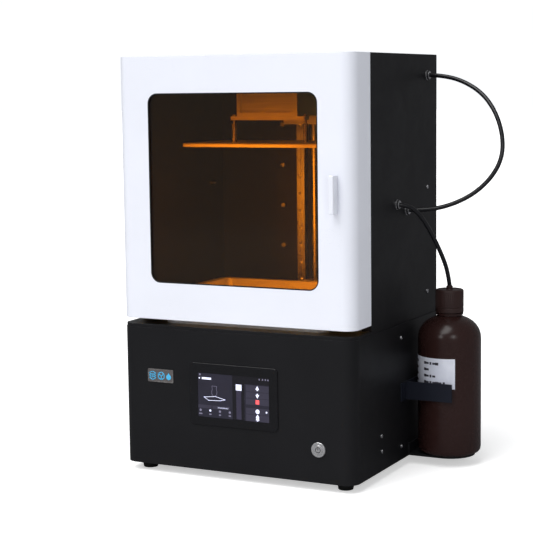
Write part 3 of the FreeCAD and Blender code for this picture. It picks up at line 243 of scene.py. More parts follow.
def build_brushing():
    """Fine parallel lines left by brushing or rolling along one direction."""
    group, entry, leave = new_group(
        "brushed lines",
        [("Along X", 1.0), ("Along Y", 1.0), ("Along Z", 1.0), ("Strength", 0.1)],
        [("Line", "NodeSocketFloat"), ("Normal", "NodeSocketVector")])
    place = add(group, "ShaderNodeTexCoord").outputs["Object"]
    stretch = add(group, "ShaderNodeVectorMath", operation="MULTIPLY")
    spans = add(group, "ShaderNodeCombineXYZ")
    for label, socket in zip(("Along X", "Along Y", "Along Z"), spans.inputs):
        group.links.new(entry.outputs[label], socket)
    group.links.new(place, stretch.inputs[0])
    group.links.new(spans.outputs[0], stretch.inputs[1])
    lines = noise(group, stretch.outputs[0], 1.0, 4.0, 0.65)
    bump = add(group, "ShaderNodeBump", Distance=0.0001)
    group.links.new(entry.outputs["Strength"], bump.inputs["Strength"])
    group.links.new(lines, bump.inputs["Height"])
    group.links.new(spread(group, lines, 0.3, 0.7), leave.inputs["Line"])
    group.links.new(bump.outputs["Normal"], leave.inputs["Normal"])
    return group


def build_dust():
    """A thin film of dust that settles on what faces up."""
    group, entry, leave = new_group("settled dust", [("Amount", 0.2), ("Scale", 60.0)],
                                    [("Mask", "NodeSocketFloat")])
    place = add(group, "ShaderNodeTexCoord").outputs["Object"]
    split = add(group, "ShaderNodeSeparateXYZ")
    group.links.new(add(group, "ShaderNodeNewGeometry").outputs["Normal"], split.inputs[0])
    upward = spread(group, split.outputs["Z"], 0.5, 1.0)
    specks = spread(group, noise(group, place, entry.outputs["Scale"], 5.0, 0.7), 0.35, 0.7)
    mask = sums(group, "MULTIPLY", sums(group, "MULTIPLY", upward, specks), entry.outputs["Amount"], True)
    group.links.new(mask, leave.inputs["Mask"])
    return group


def build_smears():
    """Finger marks and wiping streaks, for what is touched or cleaned."""
    group, entry, leave = new_group("wiped smears", [("Scale", 22.0)], [("Mask", "NodeSocketFloat")])
    place = add(group, "ShaderNodeTexCoord").outputs["Object"]
    warp = noise(group, place, 30.0, 2.0)
    mixed = add(group, "ShaderNodeVectorMath", operation="ADD")
    group.links.new(place, mixed.inputs[0])
    group.links.new(sums(group, "MULTIPLY", warp, 0.05), mixed.inputs[1])
    group.links.new(spread(group, noise(group, mixed.outputs[0], entry.outputs["Scale"], 6.0, 0.6), 0.4, 0.68),
                    leave.inputs["Mask"])
    return group


grain_group = build_grain()
edge_wear_and_highlight_group = build_edge_wear_and_highlight()
brush_group = build_brushing()
dust_group = build_dust()
smear_group = build_smears()


# ------------------------------------------------------------------ materials
def new_material(name):
    """An empty material with its main shader and output."""
    material = bpy.data.materials.new(name)
    material.use_nodes = True
    tree = material.node_tree
    tree.nodes.clear()
    shader = tree.nodes.new("ShaderNodeBsdfPrincipled")
    output = tree.nodes.new("ShaderNodeOutputMaterial")
    tree.links.new(shader.outputs[0], output.inputs["Surface"])
    return material, tree, shader


def use(tree, group, **values):
    """A node group placed in a material with its own values."""
    node = tree.nodes.new("ShaderNodeGroup")
    node.node_tree = group
    for key, value in values.items():
        node.inputs[key.replace("_", " ")].default_value = value
    return node


def blend(tree, factor, first, second):
    """A colour between two, by a mask. Each is a colour or an output."""
    node = tree.nodes.new("ShaderNodeMix")
    node.data_type = "RGBA"
    tree.links.new(factor, node.inputs[0])
    for socket, side in ((node.inputs[6], first), (node.inputs[7], second)):
        if isinstance(side, tuple):
            socket.default_value = (*side, 1)
        else:
            tree.links.new(side, socket)
    return node.outputs[2]


def shade(colour, factor):
    """The same colour, lighter or darker."""
    return tuple(min(1.0, v * factor) for v in colour)


def coated(name, colour, roughness, scale=1500.0, depth=0.2, wear=0.35, edge_wear_and_highlight=None, dust=0.15, coat=0.0,
           tone=0.12, metal=0.0, specular=0.5):
    """Painted, powder-coated or moulded surface: pebbled, slightly uneven, rubbed at its edges; a light edge
    colour also paints a highlight along the edges.
    """
    material, tree, shader = new_material(name)
    grain = use(tree, grain_group, Scale=scale, Strength=depth)
    edge_mask = use(tree, edge_wear_and_highlight_group, Amount=wear)
    settled = use(tree, dust_group, Amount=dust)
    smears = use(tree, smear_group)
    base = blend(tree, grain.outputs["Tone"], shade(colour, 1 - tone), shade(colour, 1 + tone))
    base = blend(tree, settled.outputs["Mask"], base, lin(150, 148, 142))
    # Lighter colour on the edges: wear, and for the black coat a painted highlight where edges catch the light.
    base = blend(tree, edge_mask.outputs["Mask"], base, edge_wear_and_highlight or shade(colour, 1.9))
    tree.links.new(base, shader.inputs["Base Color"])
    rough = spread(tree, grain.outputs["Pebble"], 0.0, 1.0, roughness - 0.04, roughness + 0.05)
    rough = sums(tree, "ADD", rough, sums(tree, "MULTIPLY", smears.outputs["Mask"], -0.05), True)
    rough = sums(tree, "ADD", rough, sums(tree, "MULTIPLY", settled.outputs["Mask"], 0.3), True)
    tree.links.new(rough, shader.inputs["Roughness"])
    tree.links.new(grain.outputs["Normal"], shader.inputs["Normal"])
    shader.inputs["Metallic"].default_value = metal
    shader.inputs["Coat Weight"].default_value = coat
    shader.inputs["Coat Roughness"].default_value = 0.12
    shader.inputs["Specular IOR Level"].default_value = specular
    return material


def bare_metal(name, colour, roughness, along, strength=0.12, dust=0.0, grime=0.0):
    """Bare metal with lines left by its making, and brighter rubbed edges."""
    material, tree, shader = new_material(name)
    spans = {"X": (14.0, 900.0, 900.0), "Y": (900.0, 14.0, 900.0), "Z": (900.0, 900.0, 14.0)}[along]
    lines = use(tree, brush_group, Along_X=spans[0], Along_Y=spans[1], Along_Z=spans[2], Strength=strength)
    edge_mask = use(tree, edge_wear_and_highlight_group, Amount=0.6)
    smears = use(tree, smear_group, Scale=35.0)
    settled = use(tree, dust_group, Amount=dust)
    base = blend(tree, lines.outputs["Line"], shade(colour, 0.86), shade(colour, 1.08))
    base = blend(tree, sums(tree, "MULTIPLY", smears.outputs["Mask"], grime), base, shade(colour, 0.45))
    base = blend(tree, edge_mask.outputs["Mask"], base, shade(colour, 1.25))
    base = blend(tree, settled.outputs["Mask"], base, lin(150, 148, 142))
    tree.links.new(base, shader.inputs["Base Color"])
    rough = spread(tree, lines.outputs["Line"], 0.0, 1.0, roughness - 0.06, roughness + 0.07)
    rough = sums(tree, "ADD", rough, sums(tree, "MULTIPLY", smears.outputs["Mask"], 0.07), True)
    tree.links.new(rough, shader.inputs["Roughness"])
    tree.links.new(lines.outputs["Normal"], shader.inputs["Normal"])
    shader.inputs["Metallic"].default_value = 1.0
    return material


def glossy(name, colour, roughness=0.06, glow=0.0):
    """Smooth shiny plastic or glass-fronted surface with faint finger marks and tiny specks."""
    material, tree, shader = new_material(name)
    smears = use(tree, smear_group, Scale=45.0)
    grain = use(tree, grain_group, Scale=500.0, Strength=0.01, Patches=40.0)
    base = blend(tree, grain.outputs["Tone"], shade(colour, 0.92), shade(colour, 1.08))
    tree.links.new(base, shader.inputs["Base Color"])
    rough = spread(tree, smears.outputs["Mask"], 0.0, 1.0, roughness, roughness + 0.1)
    tree.links.new(rough, shader.inputs["Roughness"])
    tree.links.new(grain.outputs["Normal"], shader.inputs["Normal"])
    if glow:
        tree.links.new(base, shader.inputs["Emission Color"])
        shader.inputs["Emission Strength"].default_value = glow
    return material


def clear_sheet(name, through, roughness=0.02):
    """Tinted clear sheet that lets light in, with faint wiping marks on it."""
    material, tree, shader = new_material(name)
    smears = use(tree, smear_group, Scale=18.0)
    tint = blend(tree, smears.outputs["Mask"], through, shade(through, 0.96))
    tree.links.new(tint, shader.inputs["Base Color"])
    tree.links.new(spread(tree, smears.outputs["Mask"], 0.0, 1.0, roughness, roughness + 0.05),
                   shader.inputs["Roughness"])
    shader.inputs["IOR"].default_value = 1.49
    shader.inputs["Transmission Weight"].default_value = 1.0
    open_way = tree.nodes.new("ShaderNodeBsdfTransparent")
    open_way.inputs["Color"].default_value = (*(math.sqrt(v) for v in through), 1)
    choose = tree.nodes.new("ShaderNodeMixShader")
    rays = tree.nodes.new("ShaderNodeLightPath")
    tree.links.new(rays.outputs["Is Shadow Ray"], choose.inputs[0])
    tree.links.new(shader.outputs[0], choose.inputs[1])
    tree.links.new(open_way.outputs[0], choose.inputs[2])
    output = [node for node in tree.nodes if node.type == "OUTPUT_MATERIAL"][0]
    tree.links.new(choose.outputs[0], output.inputs["Surface"])
    return material


BLACK = (0.0078, 0.0078, 0.0092)
finishes = {
    # The black coat's edges are lightened well beyond wear: a painted highlight along its rims and the base's
    # ledge.
    "black_coat": coated("black powder coat", BLACK, 0.5, 1500, 0.25, 0.6, edge_wear_and_highlight=(0.07, 0.07, 0.075),
                         dust=0.02, tone=0.10, specular=0.2),
    "clamp_coat": coated("blue-black strap coat", lin(24, 27, 38), 0.46, 1200, 0.2, 0.35, dust=0.06,
                         specular=0.25),
    "white_coat": coated("white door enamel", (0.755, 0.775, 0.85), 0.34, 700, 0.05, 0.12,
                         edge_wear_and_highlight=(0.9, 0.9, 0.9), dust=0.04, coat=0.15, tone=0.015),
    "deck_coat": coated("dark anodised deck", lin(52, 52, 56), 0.38, 2200, 0.08, 0.5, metal=0.6,
                        edge_wear_and_highlight=(0.5, 0.5, 0.5)),
    "rubber_black": coated("black rubber", (0.010, 0.010, 0.010), 0.72, 900, 0.25, 0.1, dust=0.1, specular=0.2),
    "hose_black": coated("black hose", (0.006, 0.006, 0.008), 0.34, 600, 0.04, 0.0, dust=0.03, coat=0.1,
                         specular=0.4),
    "button_steel": coated("turned button steel", (0.62, 0.62, 0.63), 0.28, 2600, 0.1, 0.6,
                           edge_wear_and_highlight=(0.9, 0.9, 0.9), dust=0.0, metal=0.8),
    "aluminium_plain": bare_metal("plain aluminium", (0.86, 0.86, 0.87), 0.44, "X"),
    "steel_bright": bare_metal("bright steel", (0.62, 0.62, 0.64), 0.26, "Z", grime=0.25),
    "magnet_nickel": bare_metal("nickel plate", (0.68, 0.66, 0.62), 0.18, "Z", 0.05),
    "motor_dark": coated("motor lacquer", (0.02, 0.02, 0.021), 0.4, 1600, 0.12, 0.5, edge_wear_and_highlight=(0.4, 0.4, 0.4)),
    "nut_brass": bare_metal("machined brass", (0.70, 0.50, 0.22), 0.3, "Z", grime=0.3),
    "plastic_black": coated("black moulded plastic", (0.011, 0.011, 0.013), 0.46, 2600, 0.16, 0.15,
                            specular=0.35),
    "gloss_black": glossy("gloss black plastic", (0.004, 0.004, 0.005), 0.07),
    "display_glass": glossy("display glass", lin(33, 32, 42), 0.06, 0.5),
    "board_green": coated("green circuit board", (0.012, 0.085, 0.035), 0.36, 300, 0.12, 0.2, coat=0.4),
    "window_orange": clear_sheet("orange window", (0.92, 0.44, 0.03)),
    "clear_film": clear_sheet("clear film", (0.9, 0.93, 0.95), 0.04),
    "mask_dark": glossy("masking screen glass", (0.012, 0.012, 0.016), 0.05),
    "bottle_brown": coated("brown bottle plastic", lin(42, 25, 23), 0.27, 1600, 0.02, 0.0, dust=0.0, tone=0.06,
                           specular=0.3),
    "cap_brown": coated("brown cap plastic", lin(46, 30, 28), 0.44, 900, 0.12, 0.1, dust=0.03, tone=0.08,
                        specular=0.3),
}
for part in frame["record"]["subparts"]:
    mesh = frame["nodes"][part["node"]].data
    mesh.materials.clear()
    mesh.materials.append(finishes[part["material_slot"]])
for node in ("button_cap", "button_ring"):
    frame["nodes"][node].data.materials[0] = finishes["button_steel"]


def dress(piece, material):
    """A piece gets one material all over."""
    piece.data.materials.clear()
    piece.data.materials.append(material)
    return piece


dress(loop_hose, finishes["hose_black"])
dress(bottle_hose, finishes["hose_black"])

# ------------------------------------------------------------------ room and light
FLOOR_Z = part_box("base_feet")[0].z
AIR_LIGHT, AIR_GLOSS, AIR_SEEN = 0.30, 0.22, 1.05
TABLE_GLOW = 0.5


def lay_floor():
    """A wide white light table under the printer, which shows little of its own gloss."""
    bpy.ops.object.select_all(action="DESELECT")
    bpy.ops.mesh.primitive_plane_add(size=60, location=(0, 0, FLOOR_Z - 0.0002))
    floor = bpy.context.object
    floor.name = "floor"
    bpy.ops.object.transform_apply(location=True, rotation=True, scale=True)
    material, tree, shader = new_material("pale floor")
    grain = use(tree, grain_group, Scale=90.0, Strength=0.0, Patches=0.6)
    rays = tree.nodes.new("ShaderNodeLightPath")
    pale = blend(tree, grain.outputs["Tone"], (0.93, 0.93, 0.93), (0.95, 0.95, 0.95))
    base = blend(tree, rays.outputs["Is Glossy Ray"], pale, (0.22, 0.22, 0.23))
    tree.links.new(base, shader.inputs["Base Color"])
    shader.inputs["Roughness"].default_value = 0.9
    shader.inputs["Specular IOR Level"].default_value = 0.0
    shader.inputs["Emission Color"].default_value = (1, 1, 1, 1)
    glow = sums(tree, "MULTIPLY", rays.outputs["Is Camera Ray"], TABLE_GLOW)
    tree.links.new(glow, shader.inputs["Emission Strength"])
    dress(floor, material)


def soft_light(name, place, aim, size, power):
    """A square soft light at one place, turned to another."""
    lamp = bpy.data.lights.new(name, "AREA")
    lamp.shape = "RECTANGLE"
    lamp.size, lamp.size_y = size
    lamp.energy = power
    light = bpy.data.objects.new(name, lamp)
    bpy.context.scene.collection.objects.link(light)
    light.location = place
    light.rotation_euler = (Vector(aim) - Vector(place)).to_track_quat("-Z", "Y").to_euler()
    return light


def light_room():
    """A white room: broad light from above and the front left, two softboxes and a lamp in the chamber."""
    world = bpy.data.worlds.new("white room")
    bpy.context.scene.world = world
    world.use_nodes = True
    tree = world.node_tree
    tree.nodes.clear()
    output = tree.nodes.new("ShaderNodeOutputWorld")
    rays = tree.nodes.new("ShaderNodeLightPath")
    air = tree.nodes.new("ShaderNodeBackground")
    air.inputs["Color"].default_value = (0.96, 0.975, 1.0, 1)
    dimmed = sums(tree, "MULTIPLY", rays.outputs["Is Glossy Ray"], AIR_LIGHT - AIR_GLOSS)
    around = sums(tree, "SUBTRACT", AIR_LIGHT, dimmed)
    seen = sums(tree, "MULTIPLY", rays.outputs["Is Camera Ray"], AIR_SEEN)
    tree.links.new(sums(tree, "MAXIMUM", around, seen), air.inputs["Strength"])
    tree.links.new(air.outputs[0], output.inputs["Surface"])
    lamp = bpy.data.lights.new("broad_light", "SUN")
    lamp.energy = 2.5
    lamp.angle = math.radians(50)
    broad = bpy.data.objects.new("broad_light", lamp)
    bpy.context.scene.collection.objects.link(broad)
    broad.rotation_euler = Vector((0.22, 0.62, -1.0)).to_track_quat("-Z", "Y").to_euler()
    soft_light("left_softbox", (-0.8, -3.6, 1.45), (0, 0, 0.3), (0.8, 0.8), 14)
    soft_light("right_softbox", (2.2, -2.8, 1.45), (0, 0, 0.3), (0.8, 0.8), 12)
    inner = soft_light("chamber_light", at(-30, 22, 345), at(0, 290, 365), (0.16, 0.16), 0.32)
    inner.data.color = (1.0, 0.56, 0.2)
    inner.visible_camera = False
    inner.visible_transmission = False
    bpy.context.scene.view_settings.view_transform = "Standard"

lay_floor()
light_room()


# ------------------------------------------------------------------ making pieces
def clear_selection():
    """Nothing stays selected and edit mode is left."""
    if bpy.context.object and bpy.context.object.mode != "OBJECT":
        bpy.ops.object.mode_set(mode="OBJECT")
    bpy.ops.object.select_all(action="DESELECT")


def settle(name):
    """The piece just added gets its name, and its place goes into its mesh."""
    piece = bpy.context.object
    piece.name = name
    bpy.ops.object.transform_apply(location=True, rotation=True, scale=True)
    return piece


def bar(name, x, y, z):
    """A block between two values along each axis."""
    low, high = at(x[0], y[0], z[0]), at(x[1], y[1], z[1])
    clear_selection()
    bpy.ops.mesh.primitive_cube_add(size=1, location=(low + high) / 2, scale=high - low)
    return settle(name)


TURNS = {"X": (0, math.pi / 2, 0), "-Y": (math.pi / 2, 0, 0), "Z": (0, 0, 0)}


def pick(piece, kind, wanted):
    """Into edit mode, with only the faces or edges selected that pass a test."""
    clear_selection()
    bpy.context.view_layer.objects.active = piece
    piece.select_set(True)
    bpy.ops.object.mode_set(mode="EDIT")
    bpy.ops.mesh.select_mode(type=kind)
    bpy.ops.mesh.select_all(action="DESELECT")
    shape = bmesh.from_edit_mesh(piece.data)
    shape.normal_update()
    for item in (shape.faces if kind == "FACE" else shape.edges):
        item.select_set(bool(wanted(item)))
    bmesh.update_edit_mesh(piece.data)


def done():
    """Back out of edit mode."""
    bpy.ops.object.mode_set(mode="OBJECT")


def sharp(edge, limit=0.6):
    """Whether an edge has a clear angle between its two faces."""
    return len(edge.link_faces) == 2 and edge.calc_face_angle(0) > limit


def ease(piece, width, steps=2, wanted=sharp):
    """Rounds the picked edges."""
    pick(piece, "EDGE", wanted)
    bpy.ops.mesh.bevel(offset=width * MM, segments=steps, affect="EDGES", clamp_overlap=True)
    done()
    return piece


def smooth(piece, angle=35):
    """Smooth shading that keeps the clear edges."""
    clear_selection()
    bpy.context.view_layer.objects.active = piece
    piece.select_set(True)
    bpy.ops.object.shade_smooth_by_angle(angle=math.radians(angle))
    return piece


def turned(name, centre, way, outline, sides=64):
    """A round piece drawn up ring by ring from its outline of heights and radii."""
    clear_selection()
    height, radius = outline[0]
    bpy.ops.mesh.primitive_circle_add(vertices=sides, radius=radius * MM, fill_type="NGON",
                                      location=(0, 0, height * MM))
    piece = settle(name)
    pick(piece, "FACE", lambda face: True)
    for next_height, next_radius in outline[1:]:
        bpy.ops.mesh.extrude_region_move(
            TRANSFORM_OT_translate={"value": (0, 0, (next_height - height) * MM)})
        grow = next_radius / radius
        bpy.ops.transform.resize(value=(grow, grow, 1), center_override=(0, 0, next_height * MM))
        height, radius = next_height, next_radius
    bpy.ops.mesh.select_all(action="SELECT")
    bpy.ops.mesh.normals_make_consistent(inside=False)
    done()
    piece.rotation_euler = TURNS[way]
    piece.location = at(*centre)
    bpy.ops.object.transform_apply(location=True, rotation=True, scale=True)
    return smooth(piece)


def together(name, pieces):
    """Several pieces made into one mesh."""
    clear_selection()
    for piece in pieces:
        piece.select_set(True)
    bpy.context.view_layer.objects.active = pieces[0]
    bpy.ops.object.join()
    pieces[0].name = name
    return pieces[0]


def place_piece(piece, body, slot, *replaced):
    """The piece rides on a body and may stand for CAD nodes, which it hides; its slot is not used."""
    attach(piece, body)
    if replaced:
        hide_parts(*replaced)
    return piece


# ------------------------------------------------------------------ display
SCREEN_LEFT, SCREEN_WIDTH, SCREEN_TOP, SCREEN_HEIGHT = -55.0, 107.5, 134.0, 60.0
SCREEN_FACE = -1.2


def on_screen(name, left, right, top, bottom, lift=0.03):
    """A flat patch on the display, placed by shares of its width and height."""
    x = (SCREEN_LEFT + SCREEN_WIDTH * left, SCREEN_LEFT + SCREEN_WIDTH * right)
    z = (SCREEN_TOP - SCREEN_HEIGHT * bottom, SCREEN_TOP - SCREEN_HEIGHT * top)
    return bar(name, x, (SCREEN_FACE - lift, SCREEN_FACE + 0.05), z)


def screen_outline(name, points, width=0.45):
    """A thin line drawn round a closed row of points on the display."""
    strokes = []
    for first, second in zip(points, points[1:]):
        one = Vector((SCREEN_LEFT + SCREEN_WIDTH * first[0], 0, SCREEN_TOP - SCREEN_HEIGHT * first[1]))
        two = Vector((SCREEN_LEFT + SCREEN_WIDTH * second[0], 0, SCREEN_TOP - SCREEN_HEIGHT * second[1]))
        middle = (one + two) / 2
        clear_selection()
        bpy.ops.mesh.primitive_cube_add(
            size=1, location=at(middle.x, SCREEN_FACE - 0.02, middle.z),
            rotation=(0, -math.atan2(two.z - one.z, two.x - one.x), 0),
            scale=(((two - one).length + width) * MM, 0.08 * MM, width * MM))
        strokes.append(settle(name))
    return together(name, strokes)


def screen_round(name, across, down, radius, sides=24):
    """A round dot on the display."""
    centre = (SCREEN_LEFT + SCREEN_WIDTH * across, SCREEN_FACE + 0.05, SCREEN_TOP - SCREEN_HEIGHT * down)
    return turned(name, centre, "-Y", [(0, radius), (0.09, radius), (0.1, radius * 0.97)], sides)


def make_screen():
    """The picture on the display: tiles, bars, a slider and a line drawing of a platform in a vat."""
    tile = glossy("display tile", lin(47, 45, 57), 0.06, 0.5)
    track = glossy("display track", lin(46, 43, 58), 0.06, 0.5)
    deep = glossy("display dark band", lin(20, 19, 24), 0.06, 0.4)
    bright = glossy("display white", lin(214, 216, 240), 0.06, 0.8)
    faint = glossy("display grey", lin(104, 101, 120), 0.06, 0.6)
    red = glossy("display red", lin(232, 84, 88), 0.06, 0.8)
    made = {"dark": [], "tiles": [], "track": [], "bright": [], "faint": [], "red": []}
    made["dark"].append(on_screen("band", 0.49, 0.66, 0.0, 1.0, 0.01))
    made["dark"].append(on_screen("band", 0.66, 1.0, 0.0, 0.17, 0.01))
    for top, bottom in ((0.185, 0.33), (0.34, 0.475), (0.485, 0.625), (0.70, 0.835), (0.845, 1.0)):
        made["tiles"].append(on_screen("tile", 0.68, 1.0, top, bottom))
    made["tiles"].append(on_screen("tile", 0.0, 0.19, 0.725, 0.8))
    made["tiles"].append(on_screen("tile", 0.205, 0.45, 0.725, 0.8))
    made["track"].append(on_screen("track", 0.545, 0.615, 0.22, 0.985))
    made["bright"].append(ease(on_screen("knob", 0.54, 0.62, 0.195, 0.33, 0.06), 0.5))
    made["bright"].append(on_screen("title", 0.058, 0.19, 0.095, 0.14))
    made["bright"].append(on_screen("reading", 0.28, 0.43, 0.75, 0.78))
    made["bright"].append(screen_round("mark", 0.022, 0.118, 1.0))
    made["bright"].append(screen_round("tap", 0.172, 0.845, 1.5))
    made["bright"].append(screen_round("round_key", 0.84, 0.77, 3.0))
    made["bright"].append(screen_round("dot", 0.965, 0.77, 1.3))
    made["faint"].append(screen_round("hint", 0.03, 0.035, 1.4))
    for across in (0.033, 0.31, 0.45):
        made["faint"].append(screen_round("icon", across, 0.85, 1.7))
    for across, half in ((0.033, 0.024), (0.172, 0.016), (0.31, 0.014), (0.45, 0.016)):
        made["faint"].append(on_screen("caption", across - half, across + half, 0.915, 0.945))
    for across in (0.87, 0.915, 0.955, 0.99):
        made["faint"].append(on_screen("status", across - 0.008, across + 0.008, 0.025, 0.06))
    made["red"].append(ease(on_screen("stop", 0.815, 0.865, 0.51, 0.605, 0.06), 0.4))
    for middle, way in ((0.257, 1), (0.41, -1), (0.895, 1), (0.945, 1)):
        made["bright"].append(screen_arrow(0.84, middle, way))
    made["faint"].append(screen_outline("flask", [
        (0.20, 0.28), (0.27, 0.28), (0.262, 0.36), (0.272, 0.40), (0.268, 0.46), (0.245, 0.51),
        (0.215, 0.51), (0.198, 0.46), (0.196, 0.40), (0.206, 0.36), (0.20, 0.28)]))
    made["bright"].append(screen_outline("platform", [
        (0.085, 0.545), (0.15, 0.615), (0.32, 0.60), (0.385, 0.57), (0.25, 0.515), (0.085, 0.545)], 0.55))
    looks = {"dark": deep, "tiles": tile, "track": track, "bright": bright, "faint": faint, "red": red}
    for label, pieces in made.items():
        picture = together("screen_" + label, pieces)
        dress(picture, looks[label])
        place_piece(picture, "housing", "display_glass")


def screen_arrow(across, down, way):
    """A fat arrow on the display that points up or down."""
    x = SCREEN_LEFT + SCREEN_WIDTH * across
    z = SCREEN_TOP - SCREEN_HEIGHT * down
    clear_selection()
    bpy.ops.mesh.primitive_cylinder_add(vertices=3, radius=3.3 * MM, depth=0.1 * MM,
                                        location=at(x, SCREEN_FACE, z + 0.6 * way),
                                        rotation=(math.pi / 2 * way, 0, 0))
    head = settle("arrow")
    stem = bar("arrow", (x - 1.0, x + 1.0), (SCREEN_FACE - 0.05, SCREEN_FACE + 0.05),
               sorted((z - 2.6 * way, z)))
    return together("arrow", [head, stem])


# ------------------------------------------------------------------ badge
def make_badge():
    """A small framed plate with raised cyan signs: a stack of layers, a cube and a drop."""
    plate = bar("badge_plate", (-134.0, -94.0), (-0.9, 0.0), (116.0, 134.0))
    ease(plate, 1.2, 3, lambda edge: abs((edge.verts[0].co - edge.verts[1].co).normalized().y) > 0.9)
    pick(plate, "FACE", lambda face: face.normal.y < -0.9)
    bpy.ops.mesh.inset(thickness=1.0 * MM, depth=0)
    bpy.ops.mesh.extrude_region_move(TRANSFORM_OT_translate={"value": (0, 0.35 * MM, 0)})
    done()
    dress(plate, coated("badge enamel", lin(84, 80, 80), 0.4, 900, 0.1, 0.6, edge_wear_and_highlight=(0.4, 0.4, 0.4), coat=0.2))
    place_piece(smooth(plate), "housing", "steel_bright")
    strokes = []
    for z in (121.6, 124.8, 128.0):
        layer = [(-132.0, z), (-126.6, z - 2.6), (-121.2, z), (-126.6, z + 2.6), (-132.0, z)]
        strokes += badge_outline(layer, 0.9)
    cube_x, cube_z, cube_radius = -112.9, 125.0, 5.4
    turns = [math.pi * number / 3 for number in range(7)]
    corners = [(cube_x + cube_radius * math.sin(turn), cube_z + cube_radius * math.cos(turn)) for turn in turns]
    strokes += badge_outline(corners, 1.2)
    for corner in (corners[1], corners[3], corners[5]):
        strokes.append(badge_stroke((cube_x, cube_z), corner, 1.2))
    drop = turned("mark", (-101.2, -0.5, 123.6), "-Y", [(0.0, 3.7), (0.3, 3.7), (0.45, 3.3)], 32)
    tip = badge_tip(-101.2, 123.6, 3.7, 7.6)
    mark = together("badge_mark", strokes + [drop, tip])
    dress(mark, coated("cyan enamel", lin(72, 176, 224), 0.32, 900, 0.05, 0.2, coat=0.3,
                       edge_wear_and_highlight=lin(120, 200, 235)))
    place_piece(mark, "housing", "display_glass")


def badge_tip(x, z, radius, rise):
    """The pointed top of the drop, a thin wedge over its round part."""
    clear_selection()
    bpy.ops.mesh.primitive_cylinder_add(vertices=3, radius=radius * 1.02 * MM, depth=0.45 * MM,
                                        location=at(x, -0.72, z + rise * 0.32), rotation=(math.pi / 2, 0, 0))
    return settle("mark")


def badge_outline(points, width):
    """Raised strokes along a row of points on the badge."""
    return [badge_stroke(first, second, width) for first, second in zip(points, points[1:])]


def badge_stroke(first, second, width):
    """One straight raised stroke on the badge."""
    clear_selection()
    run = Vector((second[0] - first[0], 0, second[1] - first[1]))
    middle = at((first[0] + second[0]) / 2, -0.72, (first[1] + second[1]) / 2)
    bpy.ops.mesh.primitive_cube_add(size=1, location=middle, rotation=(0, -math.atan2(run.z, run.x), 0),
                                    scale=((run.length + width * 0.6) * MM, 0.45 * MM, width * MM))
    return settle("mark")


# ------------------------------------------------------------------ bottle, cap and label
BOTTLE_X, BOTTLE_Y = 223.0, 222.0


def make_bottle():
    """The bottle: one blown wall with a rounded foot, long shoulder and threaded neck."""
    outline = [(6.2, 30.0), (4.2, 35.0), (4.5, 38.2), (6.2, 41.4), (9.0, 43.4), (13.2, 44.0), (60.0, 44.0),
               (120.0, 44.0), (164.0, 44.0), (170.0, 43.6), (175.5, 42.4), (180.5, 40.0), (185.0, 36.8),
               (189.0, 32.6), (192.2, 27.8), (194.6, 22.6), (195.6, 19.8), (197.4, 17.4), (198.6, 17.4),
               (199.0, 19.2), (201.0, 19.2), (201.4, 17.0), (226.0, 17.0), (226.0, 15.0), (196.0, 15.0),
               (192.0, 19.6), (186.0, 32.0), (178.0, 39.0), (168.0, 42.0), (14.0, 42.0), (8.0, 38.0),
               (7.4, 30.0)]
    bottle = turned("bottle_shell", (BOTTLE_X, BOTTLE_Y, 0), "Z", outline, 96)
    dress(bottle, finishes["bottle_brown"])
    place_piece(smooth(bottle, 50), "housing", "bottle_brown", "bottle")


def make_cap():
    """The screw cap: a ribbed skirt over a plain band, with the hose's nipple in its top."""
    outline = [(202.0, 17.3), (202.0, 19.0), (202.5, 19.6), (208.2, 19.6), (208.7, 19.1), (209.1, 19.1),
               (209.6, 19.6), (231.6, 19.6), (233.2, 19.0), (234.0, 17.6), (234.0, 14.6), (233.3, 14.2),
               (233.3, 5.2), (234.2, 4.5), (238.2, 4.5), (238.8, 3.9)]
    cap = turned("cap_shell", (BOTTLE_X, BOTTLE_Y, 0), "Z", outline, 96)
    middle = at(BOTTLE_X, BOTTLE_Y, 0)

    def skirt_stripe(face):
        away = face.calc_center_median() - middle
        low, high = 209.7 * MM, 231.5 * MM
        turn = math.degrees(math.atan2(away.y, away.x)) % 7.5
        return low < away.z < high and abs(face.normal.z) < 0.2 and turn < 3.7
    pick(cap, "FACE", skirt_stripe)
    bpy.ops.mesh.inset(thickness=0.15 * MM, depth=-0.3 * MM, use_individual=True)
    done()
    dress(cap, finishes["cap_brown"])
    place_piece(smooth(cap, 30), "housing", "cap_brown", "bottle_cap")
    pipe = turned("pickup_pipe", (BOTTLE_X, BOTTLE_Y, 0), "Z",
                  [(12.2, 2.0), (12.2, 3.0), (231.0, 3.0), (231.0, 2.0)], 24)
    dress(pipe, finishes["clear_film"])
    place_piece(pipe, "housing", "clear_film")


def wrapped(name, radius, turn_from, turn_to, low, high, thickness):
    """A thin patch wrapped on the bottle between two directions and two heights."""
    clear_selection()
    centre = at(BOTTLE_X, BOTTLE_Y, (low + high) / 2)
    bpy.ops.mesh.primitive_cylinder_add(vertices=180, radius=radius * MM, depth=(high - low) * MM,
                                        end_fill_type="NOTHING", location=centre)
    piece = settle(name)

    def outside(face):
        away = face.calc_center_median() - centre
        turn = math.degrees(math.atan2(away.y, away.x))
        return not turn_from < turn < turn_to
    pick(piece, "FACE", outside)
    bpy.ops.mesh.delete(type="FACE")
    done()
    skin = piece.modifiers.new("skin", "SOLIDIFY")
    skin.thickness = thickness * MM
    skin.offset = 1.0
    bpy.ops.object.modifier_apply(modifier=skin.name)
    return smooth(piece)


